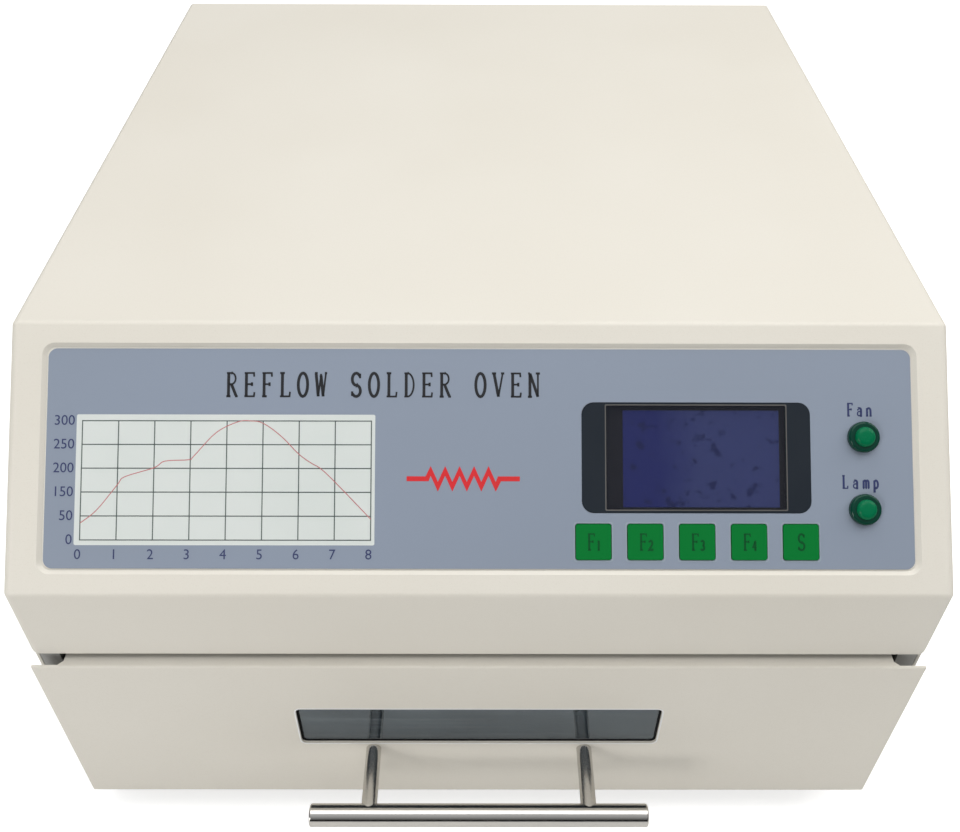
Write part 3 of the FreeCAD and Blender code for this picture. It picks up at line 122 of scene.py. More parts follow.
def roundedOutline(left, right, bottom, top, radius, steps=5):
    corners = ((right - radius, top - radius, 0), (left + radius, top - radius, 90),
               (left + radius, bottom + radius, 180), (right - radius, bottom + radius, 270))
    outline = []
    for x, y, start in corners:
        for step in range(steps + 1):
            angle = math.radians(start + 90 * step / steps)
            outline.append((x + radius * math.cos(angle), y + radius * math.sin(angle)))
    return outline


# The same box, each side moved inwards.
def inset(box, by):
    left, right, bottom, top = box
    return left + by, right - by, bottom + by, top - by


def addStroke(work, points, width, low, high):
    closed = points[0] == points[-1]
    line = [Vector(point) for point in (points[:-1] if closed else points)]
    count = len(line)
    left, right = [], []
    for index, here in enumerate(line):
        before = line[index - 1] if index or closed else None
        after = line[(index + 1) % count] if index < count - 1 or closed else None
        ways = [(end - start).normalized() for start, end in ((before, here), (here, after))
                if start and end]
        along = sum(ways, Vector((0, 0))).normalized()
        out = Vector((-along.y, along.x))
        half = width / 2
        if len(ways) == 2:
            half = min(half / max(out.dot(Vector((-ways[0].y, ways[0].x))), 0.3), width)
        left.append(here + out * half)
        right.append(here - out * half)
    if closed:
        addRing(work, left, right, low, high)
    else:
        addPrism(work, left + right[::-1], low, high)


def curveThrough(points, steps):
    ends = [points[0]] + list(points) + [points[-1]]
    line = []
    for index in range(1, len(ends) - 2):
        a, b, c, d = (Vector(point) for point in ends[index - 1:index + 3])
        for step in range(steps):
            t = step / steps
            line.append(0.5 * ((2 * b) + (c - a) * t + (2 * a - 5 * b + 4 * c - d) * t * t
                               + (3 * b - a - 3 * c + d) * t ** 3))
    return [tuple(point) for point in line] + [tuple(points[-1])]


# The loose parts of a piece as lists of points, always in the same order.
def looseParts(node):
    work = bmesh.new()
    work.from_mesh(nodes[node].data)
    bmesh.ops.remove_doubles(work, verts=work.verts, dist=mergeDistance)
    left = set(work.verts)
    parts = []
    for start in work.verts:
        if start not in left:
            continue
        left.remove(start)
        reached = [start]
        part = []
        while reached:
            vert = reached.pop()
            part.append(vert.co.copy())
            for edge in vert.link_edges:
                other = edge.other_vert(vert)
                if other in left:
                    left.remove(other)
                    reached.append(other)
        parts.append(part)
    work.free()
    return parts


def cornersOf(points):
    low = Vector(min(point[axis] for point in points) for axis in range(3))
    high = Vector(max(point[axis] for point in points) for axis in range(3))
    return low, high


def addNode(tree, kind, inputs=None, **settings):
    node = tree.nodes.new(kind)
    for name, amount in settings.items():
        setattr(node, name, amount)
    for socket, amount in (inputs or {}).items():
        if isinstance(amount, bpy.types.NodeSocket):
            tree.links.new(amount, node.inputs[socket])
        else:
            node.inputs[socket].default_value = amount
    return node


def newMaterial(name):
    material = bpy.data.materials.new(name)
    material.use_nodes = True
    tree = material.node_tree
    point = addNode(tree, "ShaderNodeTexCoord").outputs["Object"]
    return material, tree, tree.nodes["Principled BSDF"], point


def noiseAt(tree, point, scale, detail=3.0, stretch=None):
    if stretch:
        point = addNode(tree, "ShaderNodeMapping", {"Vector": point, "Scale": stretch}).outputs["Vector"]
    return addNode(tree, "ShaderNodeTexNoise",
                   {"Vector": point, "Scale": scale, "Detail": detail}).outputs["Fac"]


def spread(tree, amount, low, high, start=0.3, end=0.7):
    return addNode(tree, "ShaderNodeMapRange", {"Value": amount, "From Min": start, "From Max": end,
                                                "To Min": low, "To Max": high}).outputs["Result"]


def mixColour(tree, amount, first, second):
    node = addNode(tree, "ShaderNodeMix", data_type="RGBA")
    for socket, colour in ((node.inputs[6], first), (node.inputs[7], second)):
        if isinstance(colour, bpy.types.NodeSocket):
            tree.links.new(colour, socket)
        else:
            socket.default_value = (*colour, 1)
    tree.links.new(amount, node.inputs[0])
    return node.outputs[2]


def addBump(tree, shader, height, distance, strength=1.0):
    bump = addNode(tree, "ShaderNodeBump",
                   {"Height": height, "Distance": distance, "Strength": strength})
    tree.links.new(bump.outputs["Normal"], shader.inputs["Normal"])


# Every finish starts from a soft drift of tone over the piece and a fine grain that moves
# the tone, the gloss and the surface.
def makeFinish(name, look):
    material, tree, shader, point = newMaterial(name)
    drift = noiseAt(tree, point, look.get("patch", 12), 2.0)
    grain = noiseAt(tree, point, look["grain"], look.get("detail", 4.0), look.get("stretch"))
    toned = mixColour(tree, spread(tree, drift, 0.0, 1.0), look["colour"], look["second"])
    speck = look.get("speck", [channel * 0.8 for channel in look["colour"]])
    marked = mixColour(tree, spread(tree, grain, 0.0, look.get("marking", 0.25), 0.5, 0.85), toned, speck)
    tree.links.new(marked, shader.inputs["Base Color"])
    tree.links.new(spread(tree, grain, *look["rough"]), shader.inputs["Roughness"])
    addBump(tree, shader, grain, look["height"], look.get("strength", 0.6))
    shader.inputs["Specular Tint"].default_value = (*look.get("gleam", (1, 1, 1)), 1)
    for socket, word, usual in (("Metallic", "metal", 0.0), ("IOR", "ior", 1.5), ("Alpha", "alpha", 1.0),
                                ("Transmission Weight", "clear", 0.0), ("Sheen Weight", "sheen", 0.0)):
        shader.inputs[socket].default_value = look.get(word, usual)
    return material


# The cream coat is baked powder: a fine pebble, a finer sparkle of grains and a slight drift of tone.
creamCoat = {"colour": (0.80, 0.762, 0.680), "second": (0.825, 0.790, 0.712), "speck": (0.70, 0.655, 0.57),
             "patch": 9, "pebble": 620, "grain": 1900, "pebbleHeight": 0.05 * mm, "grainHeight": 0.015 * mm,
             "rough": (0.36, 0.52), "strength": 0.5, "ior": 1.48}


def makeCreamCoat(look):
    material, tree, shader, point = newMaterial("creamPowderCoat")
    drift = noiseAt(tree, point, look["patch"], 2.0)
    pebble = noiseAt(tree, point, look["pebble"], 2.0)
    grain = noiseAt(tree, point, look["grain"], 2.0)
    toned = mixColour(tree, spread(tree, drift, 0.0, 1.0), look["colour"], look["second"])
    marked = mixColour(tree, spread(tree, grain, 0.0, 0.35, 0.55, 0.8), toned, look["speck"])
    tree.links.new(marked, shader.inputs["Base Color"])
    tree.links.new(spread(tree, pebble, *look["rough"]), shader.inputs["Roughness"])
    fine = addNode(tree, "ShaderNodeBump", {"Height": grain, "Distance": look["grainHeight"],
                                            "Strength": look["strength"]})
    coarse = addNode(tree, "ShaderNodeBump", {"Height": pebble, "Distance": look["pebbleHeight"],
                                              "Strength": look["strength"],
                                              "Normal": fine.outputs["Normal"]})
    tree.links.new(coarse.outputs["Normal"], shader.inputs["Normal"])
    shader.inputs["IOR"].default_value = look["ior"]
    return material


# Green boards: tracks under the mask, tinned pads and a fine weave.
boardLook = {"mask": (0.012, 0.10, 0.045), "track": (0.03, 0.17, 0.08), "pad": (0.62, 0.60, 0.55),
             "cells": 190, "pads": 240, "scatter": 0.35, "weave": 1500, "rough": (0.28, 0.42),
             "height": 0.05 * mm}


def makeBoard(look):
    material, tree, shader, point = newMaterial("greenCircuitBoard")
    cells = addNode(tree, "ShaderNodeTexVoronoi", {"Vector": point, "Scale": look["cells"]},
                    feature="DISTANCE_TO_EDGE", distance="EUCLIDEAN").outputs["Distance"]
    pads = addNode(tree, "ShaderNodeTexVoronoi", {"Vector": point, "Scale": look["pads"],
                                                  "Randomness": look["scatter"]}).outputs["Distance"]
    weave = noiseAt(tree, point, look["weave"], 2.0)
    lines = mixColour(tree, spread(tree, cells, 1.0, 0.0, 0.05, 0.09), look["mask"], look["track"])
    padded = mixColour(tree, spread(tree, pads, 1.0, 0.0, 0.16, 0.2), lines, look["pad"])
    tree.links.new(padded, shader.inputs["Base Color"])
    tree.links.new(spread(tree, weave, *look["rough"]), shader.inputs["Roughness"])
    addBump(tree, shader, cells, look["height"])
    return material


looks = {
    "caseGreyPaint": {"colour": (0.36, 0.36, 0.35), "second": (0.40, 0.40, 0.39), "grain": 900,
                      "rough": (0.40, 0.55), "height": 0.03 * mm},
    "membraneFilm": {"colour": (0.285, 0.335, 0.425), "second": (0.27, 0.315, 0.395), "grain": 2600,
                     "patch": 5, "marking": 0.12, "rough": (0.30, 0.42), "height": 0.008 * mm},
    "tintedPane": {"colour": (0.012, 0.016, 0.026), "second": (0.015, 0.019, 0.029), "grain": 400,
                   "marking": 0.05, "rough": (0.10, 0.2), "height": 0.002 * mm, "alpha": 0.38, "ior": 1.35},
    "blackBezel": {"colour": (0.050, 0.044, 0.058), "second": (0.062, 0.050, 0.050), "grain": 1200,
                   "rough": (0.45, 0.6), "height": 0.01 * mm},
    "keyGreen": {"colour": (0.001, 0.180, 0.030), "second": (0.001, 0.192, 0.034), "grain": 2200,
                 "marking": 0.15, "rough": (0.42, 0.55), "height": 0.01 * mm, "ior": 1.22},
    "lampGreen": {"colour": (0.001, 0.040, 0.025), "second": (0.001, 0.050, 0.030), "grain": 500,
                  "marking": 0.1, "rough": (0.05, 0.1), "height": 0.004 * mm, "ior": 1.32},
    "lensGreen": {"colour": (0.001, 0.145, 0.058), "second": (0.001, 0.170, 0.068), "grain": 500,
                  "marking": 0.1, "rough": (0.2, 0.3), "height": 0.004 * mm, "ior": 1.22},
    "brightZinc": {"colour": (0.62, 0.63, 0.64), "second": (0.55, 0.57, 0.60), "grain": 1400,
                   "rough": (0.22, 0.36), "height": 0.01 * mm, "metal": 1.0},
    "runnerZinc": {"colour": (0.56, 0.57, 0.59), "second": (0.62, 0.62, 0.60), "grain": 700, "patch": 30,
                   "stretch": (1, 0.05, 1), "rough": (0.24, 0.42), "height": 0.01 * mm, "metal": 1.0},
    "ballSteel": {"colour": (0.66, 0.67, 0.69), "second": (0.60, 0.61, 0.63), "grain": 900,
                  "rough": (0.08, 0.16), "height": 0.002 * mm, "metal": 1.0},
    "handleSteel": {"colour": (0.64, 0.62, 0.59), "second": (0.58, 0.565, 0.54), "grain": 1500,
                    "stretch": (0.03, 1, 1), "rough": (0.10, 0.20), "height": 0.006 * mm, "metal": 1.0,
                    "marking": 0.3},
    "postSteel": {"colour": (0.64, 0.62, 0.59), "second": (0.58, 0.565, 0.54), "grain": 1500,
                  "stretch": (1, 0.03, 1), "rough": (0.16, 0.28), "height": 0.006 * mm, "metal": 1.0,
                  "marking": 0.3},
    "ovenGlass": {"colour": (0.10, 0.14, 0.18), "second": (0.05, 0.07, 0.10), "speck": (0.34, 0.42, 0.48),
                  "patch": 40, "grain": 45, "detail": 6.0, "stretch": (0.2, 1, 7), "rough": (0.0, 0.05),
                  "height": 0.002 * mm, "clear": 0.8, "ior": 1.8, "marking": 1.0, "gleam": (0.82, 0.95, 1.0)},
    # a gasket, and also painted shade for the gap between sheet and glass
    "sealAndGapShadeBlack": {"colour": (0.003, 0.003, 0.004), "second": (0.006, 0.006, 0.007), "grain": 900,
                  "rough": (0.6, 0.8), "height": 0.02 * mm, "ior": 1.2},
    # painted highlight for the lit cut edge round the drawer's window
    "edgeHighlightPaint": {"colour": (0.93, 0.93, 0.92), "second": (0.90, 0.90, 0.89), "grain": 900, "marking": 0.1,
                 "rough": (0.3, 0.45), "height": 0.01 * mm},
    "chamberSteel": {"colour": (0.56, 0.56, 0.55), "second": (0.50, 0.49, 0.46), "grain": 900, "patch": 14,
                     "stretch": (0.04, 1, 1), "rough": (0.24, 0.40), "height": 0.01 * mm, "metal": 1.0,
                     "marking": 0.35},
    "mirrorSheet": {"colour": (0.78, 0.78, 0.77), "second": (0.72, 0.71, 0.68), "grain": 300,
                    "rough": (0.06, 0.18), "height": 0.01 * mm, "metal": 1.0},
    "rackWire": {"colour": (0.68, 0.68, 0.69), "second": (0.60, 0.60, 0.60), "grain": 800,
                 "rough": (0.10, 0.22), "height": 0.004 * mm, "metal": 1.0},
    "fibreFelt": {"colour": (0.74, 0.71, 0.64), "second": (0.66, 0.62, 0.54), "grain": 700, "detail": 8.0,
                  "rough": (0.85, 1.0), "height": 0.4 * mm, "sheen": 0.4, "marking": 0.5},
    "quartzTube": {"colour": (0.93, 0.95, 0.96), "second": (0.90, 0.92, 0.94), "grain": 120,
                   "rough": (0.02, 0.08), "height": 0.003 * mm, "clear": 1.0, "ior": 1.46, "marking": 0.05},
    "heatingWire": {"colour": (0.20, 0.16, 0.13), "second": (0.28, 0.21, 0.16), "grain": 1100,
                    "rough": (0.40, 0.6), "height": 0.01 * mm, "metal": 0.9},
    "steatite": {"colour": (0.78, 0.75, 0.67), "second": (0.72, 0.68, 0.60), "grain": 1200,
                 "rough": (0.50, 0.7), "height": 0.02 * mm},
    "probeSteel": {"colour": (0.46, 0.45, 0.43), "second": (0.52, 0.47, 0.40), "grain": 1300,
                   "rough": (0.28, 0.4), "height": 0.008 * mm, "metal": 1.0},
    "blackMoulding": {"colour": (0.018, 0.018, 0.019), "second": (0.024, 0.024, 0.025), "grain": 1500,
                      "rough": (0.42, 0.6), "height": 0.03 * mm, "speck": (0.03, 0.03, 0.03)},
    "rockerBlack": {"colour": (0.014, 0.014, 0.015), "second": (0.02, 0.02, 0.021), "grain": 700,
                    "rough": (0.14, 0.26), "height": 0.008 * mm},
    "pinNickel": {"colour": (0.72, 0.64, 0.42), "second": (0.66, 0.60, 0.44), "grain": 1500,
                  "rough": (0.2, 0.32), "height": 0.006 * mm, "metal": 1.0},
    "fuseGlass": {"colour": (0.85, 0.88, 0.88), "second": (0.80, 0.84, 0.84), "grain": 300,
                  "rough": (0.02, 0.1), "height": 0.003 * mm, "clear": 0.9, "ior": 1.5},
    "guardWire": {"colour": (0.62, 0.62, 0.64), "second": (0.56, 0.56, 0.58), "grain": 900,
                  "rough": (0.12, 0.26), "height": 0.005 * mm, "metal": 1.0},
    "footRubber": {"colour": (0.022, 0.022, 0.022), "second": (0.032, 0.031, 0.030), "grain": 900,
                   "rough": (0.7, 0.9), "height": 0.05 * mm},
    "varnishedCore": {"colour": (0.06, 0.055, 0.05), "second": (0.09, 0.075, 0.05), "grain": 1800,
                      "stretch": (1, 1, 0.02), "rough": (0.3, 0.5), "height": 0.04 * mm, "metal": 0.5},
    "blackAnodised": {"colour": (0.03, 0.03, 0.032), "second": (0.045, 0.045, 0.048), "grain": 1600,
                      "rough": (0.35, 0.5), "height": 0.01 * mm, "metal": 0.6},
    "terminalGreen": {"colour": (0.012, 0.16, 0.06), "second": (0.016, 0.19, 0.075), "grain": 1300,
                      "rough": (0.35, 0.5), "height": 0.02 * mm},
}
finishes = {name: makeFinish(name, look) for name, look in looks.items()}
finishes["creamPowderCoat"] = makeCreamCoat(creamCoat)
finishes["greenCircuitBoard"] = makeBoard(boardLook)

# The display is off, but its face carries a painted glow of its own blue: a deep blue face behind glass,
# lighter towards the right, dark at its edges.
displayLook = {"deep": (0.040, 0.048, 0.27), "lighterBlue": (0.085, 0.105, 0.33), "spot": (0.026, 0.032, 0.15),
               "cloud": 55, "blot": 210, "lighterStart": 76 * mm, "lighterEnd": 92 * mm, "waver": 12 * mm,
               "glow": 0.5, "rough": (0.12, 0.25), "height": 0.01 * mm}


def makeDisplayFace(look):
    material, tree, shader, point = newMaterial("blueDisplayFace")
    cloud = noiseAt(tree, point, look["cloud"], 3.0)
    blot = noiseAt(tree, point, look["blot"], 5.0)
    along = addNode(tree, "ShaderNodeSeparateXYZ", {0: point}).outputs["X"]
    wavered = addNode(tree, "ShaderNodeMath", {0: cloud, 1: look["waver"], 2: along},
                      operation="MULTIPLY_ADD")
    # the face turns a lighter blue towards the right, along a wavering border
    lighterShare = spread(tree, wavered.outputs[0], 0.0, 1.0, look["lighterStart"], look["lighterEnd"])
    blendedBlue = mixColour(tree, lighterShare, look["deep"], look["lighterBlue"])
    spotted = mixColour(tree, spread(tree, blot, 0.0, 0.8, 0.58, 0.66), blendedBlue, look["spot"])
    tree.links.new(spotted, shader.inputs["Base Color"])
    # painted glow: the display's own blue is also emitted, though the display is off
    tree.links.new(spotted, shader.inputs["Emission Color"])
    shader.inputs["Emission Strength"].default_value = look["glow"]
    tree.links.new(spread(tree, cloud, *look["rough"]), shader.inputs["Roughness"])
    addBump(tree, shader, cloud, look["height"])
    return material


finishes["blueDisplayFace"] = makeDisplayFace(displayLook)

slotFinish = {
    "powder_coat": "creamPowderCoat", "grey_coat": "caseGreyPaint", "overlay_film": "membraneFilm",
    "window_tint": "tintedPane", "display_metal": "blackBezel", "display_glass": "blueDisplayFace",
    "circuit_board": "greenCircuitBoard", "key_green": "keyGreen", "lamp_green": "lampGreen",
    "bright_zinc": "brightZinc", "runner_steel": "runnerZinc", "ball_steel": "ballSteel",
    "handle_metal": "handleSteel", "oven_glass": "ovenGlass", "chamber_steel": "chamberSteel",
    "mirror_sheet": "mirrorSheet", "rack_wire": "rackWire", "fibre_blanket": "fibreFelt",
    "quartz": "quartzTube", "heating_wire": "heatingWire", "steatite": "steatite",
    "probe_steel": "probeSteel", "black_plastic": "blackMoulding", "rocker_plastic": "rockerBlack",
    "pin_brass": "pinNickel", "fuse_glass": "fuseGlass", "guard_wire": "guardWire",
    "foot_rubber": "footRubber", "core_steel": "varnishedCore", "sink_aluminium": "blackAnodised",
    "terminal_plastic": "terminalGreen",
}
for part in frame["record"]["subparts"]:
    node = nodes[part["node"]]
    finish = finishes[slotFinish[part["material_slot"]]]
    if part["node"] == "handle_posts":
        finish = finishes["postSteel"]
    if not node.material_slots:
        node.data.materials.append(finish)
    for materialSlot in node.material_slots:
        materialSlot.material = finish
print("finishes made:", len(finishes))


# Printing is laid out on the membrane's face: X from its middle to the right, Y up the slope.
overlayMesh = nodes["control_overlay"].data
raised = [face for face in overlayMesh.polygons if face.normal.z > 0.1]
outward = max(raised, key=lambda face: face.area).normal.copy()
across = Vector((1, 0, 0))
upSlope = outward.cross(across)
overlayPoints = [vert.co for vert in overlayMesh.vertices]
faceLevel = max(point.dot(outward) for point in overlayPoints)
slopeSpan = [point.dot(upSlope) for point in overlayPoints]
panelCentre = upSlope * (min(slopeSpan) + max(slopeSpan)) / 2 + outward * faceLevel
panelPlace = Matrix.Translation(panelCentre) @ Matrix((across, upSlope, outward)).transposed().to_4x4()
panelPlace = panelPlace @ Matrix.Scale(mm, 4)


def makeInk(name, colour, second, ior=1.45):
    return makeFinish(name, {"colour": colour, "second": second, "grain": 2600, "patch": 30, "ior": ior,
                             "marking": 0.1, "rough": (0.32, 0.45), "height": 0.005 * mm})


inkTones = {
    "chartWhiteInk": ((0.72, 0.77, 0.745), (0.75, 0.79, 0.77)),
    "gridInk": ((0.07, 0.10, 0.095), (0.10, 0.13, 0.12)),
    "curveInk": ((0.52, 0.16, 0.17), (0.60, 0.22, 0.22)),
    "navyInk": ((0.030, 0.042, 0.135), (0.040, 0.052, 0.150)),
    "blackInk": ((0.010, 0.011, 0.014), (0.018, 0.018, 0.022)),
    "redInk": ((0.74, 0.022, 0.030), (0.70, 0.030, 0.034)),
    "slateInk": ((0.013, 0.019, 0.028), (0.017, 0.023, 0.032), 1.3),
    "paleKeyRingTone": ((0.32, 0.38, 0.45), (0.33, 0.40, 0.46)),
    "keyMarkInk": ((0.005, 0.080, 0.024), (0.007, 0.090, 0.026), 1.2),
    "frameLineInk": ((0.10, 0.097, 0.092), (0.13, 0.125, 0.12)),
}
inks = {name: makeInk(name, *tones) for name, tones in inkTones.items()}

# The chart's sizes are millimetres on the slope, its rows are degrees and its columns minutes.
chart = {"left": -158.0, "right": -41.0, "bottom": -34.0, "top": 17.0, "gridLeft": -155.7,
         "gridRight": -42.5, "gridBottom": -32.0, "gridTop": 14.5, "columns": 8, "rows": 5, "line": 0.42,
         "curveLine": 0.34, "panelInk": 0.03, "gridInk": 0.05, "curveInk": 0.07, "numberHeight": 3.9,
         "numberInk": 0.05, "numberShift": 0.8, "numberDrop": 5.4, "numberGap": 0.6, "numberSink": 0.42,
         "curveSteps": 5, "corner": 0.6, "rowDegrees": [0, 50, 150, 200, 250, 300]}
soak = [(0, 35), (0.45, 75), (1, 165), (1.2, 182), (2, 201), (2.3, 215), (2.95, 218), (3.1, 226), (3.7, 275),
        (4.3, 298), (4.65, 300), (5, 295), (5.5, 268), (6, 230), (6.35, 211), (6.6, 200), (7, 172), (8, 44)]


# A tree starts with named inputs, and ends with its instances made real and finished.
def newTree(name, inputs):
    tree = bpy.data.node_groups.new(name, "GeometryNodeTree")
    for label, kind in inputs.items():
        tree.interface.new_socket(label, in_out="INPUT", socket_type="NodeSocket" + kind)
    tree.interface.new_socket("Geometry", in_out="OUTPUT", socket_type="NodeSocketGeometry")
    return tree, addNode(tree, "NodeGroupInput").outputs


def endTree(tree, shapes, material):
    solid = addNode(tree, "GeometryNodeRealizeInstances", {"Geometry": shapes})
    finished = addNode(tree, "GeometryNodeSetMaterial",
                       {"Geometry": solid.outputs[0], "Material": material})
    addNode(tree, "NodeGroupOutput", {"Geometry": finished.outputs[0]})
    return tree


# The grid is one set of thin bars across and one up.
def makeBarTree():
    tree, given = newTree("gridBars", {"Columns": "Int", "Rows": "Int", "Wide": "Float", "High": "Float",
                                       "Line": "Float", "Thick": "Float", "Ink": "Material"})
    joined = addNode(tree, "GeometryNodeJoinGeometry")
    for count, span, length, isAcross in (("Columns", "Wide", "High", True),
                                          ("Rows", "High", "Wide", False)):
        bars = addNode(tree, "ShaderNodeMath", {0: given[count], 1: 1.0}, operation="ADD")
        step = addNode(tree, "ShaderNodeMath", {0: given[span], 1: given[count]}, operation="DIVIDE")
        reach = addNode(tree, "ShaderNodeMath", {0: given[length], 1: given["Line"]}, operation="ADD")
        offset = addNode(tree, "ShaderNodeCombineXYZ", {"X" if isAcross else "Y": step.outputs[0]})
        line = addNode(tree, "GeometryNodeMeshLine",
                       {"Count": bars.outputs[0], "Offset": offset.outputs[0]})
        size = addNode(tree, "ShaderNodeCombineXYZ",
                       {"X": given["Line"] if isAcross else reach.outputs[0],
                        "Y": reach.outputs[0] if isAcross else given["Line"], "Z": given["Thick"]})
        bar = addNode(tree, "GeometryNodeMeshCube", {"Size": size.outputs[0]})
        half = addNode(tree, "ShaderNodeMath", {0: given[length], 1: 2.0}, operation="DIVIDE")
        middle = addNode(tree, "ShaderNodeCombineXYZ", {"Y" if isAcross else "X": half.outputs[0]})
        placed = addNode(tree, "GeometryNodeTransform", {"Geometry": bar.outputs["Mesh"],
                                                         "Translation": middle.outputs[0]})
        copies = addNode(tree, "GeometryNodeInstanceOnPoints", {"Points": line.outputs["Mesh"],
                                                                "Instance": placed.outputs["Geometry"]})
        tree.links.new(copies.outputs["Instances"], joined.inputs[0])
    return endTree(tree, joined.outputs[0], given["Ink"])


def runTree(name, tree, inputs, source=None):
    carrier = addObject(name + "_carrier", source or bpy.data.meshes.new(name + "_source"))
    modifier = carrier.modifiers.new("nodes", "NODES")
    modifier.node_group = tree
    sockets = {item.name: item.identifier for item in tree.interface.items_tree
               if item.in_out == "INPUT"}
    for label, amount in inputs.items():
        modifier[sockets[label]] = amount
    mesh = evaluatedMesh(carrier)
    mesh.name = name
    carrier.modifiers.remove(modifier)
    bpy.data.objects.remove(carrier)
    return mesh


def chartPoint(column, degrees):
    steps = chart["rowDegrees"]
    row = next(index for index in range(chart["rows"]) if degrees <= steps[index + 1])
    row += (degrees - steps[row]) / (steps[row + 1] - steps[row])
    return (chart["gridLeft"] + column * (chart["gridRight"] - chart["gridLeft"]) / chart["columns"],
            chart["gridBottom"] + row * (chart["gridTop"] - chart["gridBottom"]) / chart["rows"])


capitalShare = 0.70    # how much of a font's size its capitals take


def numberMesh(number, x, y, align="CENTER"):
    letters = bpy.data.curves.new("number", "FONT")
    letters.body = str(number)
    letters.size = chart["numberHeight"] / capitalShare
    letters.align_x = align
    letters.extrude = chart["numberInk"] / 2
    letters.resolution_u = 4
    carrier = addObject("number_letters", letters)
    mesh = evaluatedMesh(carrier)
    bpy.data.objects.remove(carrier)
    mesh.transform(Matrix.Translation((x, y, chart["numberInk"] / 2)))
    return mesh


def joinMeshes(meshes):
    work = bmesh.new()
    for mesh in meshes:
        work.from_mesh(mesh)
    bmesh.ops.remove_doubles(work, verts=work.verts, dist=1e-5)
    return work


def makeChart():
    work = bmesh.new()
    outline = roundedOutline(chart["left"], chart["right"], chart["bottom"], chart["top"],
                             chart["corner"], 2)
    addPrism(work, outline, 0, chart["panelInk"])
    pieceFromBmesh("chart_panel", work, "root", inks["chartWhiteInk"], panelPlace)
    grid = runTree("chart_grid", makeBarTree(), {
        "Columns": chart["columns"], "Rows": chart["rows"],
        "Wide": chart["gridRight"] - chart["gridLeft"], "High": chart["gridTop"] - chart["gridBottom"],
        "Line": chart["line"], "Thick": chart["gridInk"], "Ink": inks["gridInk"]})
    corner = (chart["gridLeft"], chart["gridBottom"], chart["gridInk"] / 2)
    grid.transform(panelPlace @ Matrix.Translation(corner))
    pieceFromMesh("chart_grid", grid, "root")
    work = bmesh.new()
    line = curveThrough([chartPoint(*point) for point in soak], chart["curveSteps"])
    addStroke(work, line, chart["curveLine"], 0, chart["curveInk"])
    pieceFromBmesh("chart_curve", work, "root", inks["curveInk"], panelPlace)
    meshes = []
    for column in range(chart["columns"] + 1):
        meshes.append(numberMesh(column, chartPoint(column, 0)[0] - chart["numberShift"],
                                 chart["bottom"] - chart["numberDrop"]))
    for degrees in chart["rowDegrees"]:
        y = chartPoint(0, degrees)[1] - chart["numberHeight"] * chart["numberSink"]
        meshes.append(numberMesh(degrees, chart["left"] - chart["numberGap"], y, "RIGHT"))
    pieceFromBmesh("chart_numbers", joinMeshes(meshes), "root",
                   inks["navyInk"], panelPlace)


makeChart()
print("chart printed")


# Serif letters are drawn with a few strokes each, in a box 1 high and about half as wide.
# The first letter of a stroke says its weight: s for a stem, h for a hairline, f for a foot.
def bow(x, y, wide, high, start, end, steps=10):
    return [(x + wide * math.cos(math.radians(start + (end - start) * step / steps)),
             y + high * math.sin(math.radians(start + (end - start) * step / steps)))
            for step in range(steps + 1)]


def foot(x, y, reach=0.09):
    return ("f", [(x - reach, y), (x + reach, y)])


def stem(x, low=0.0, high=1.0):
    return ("s", [(x, low), (x, high)])


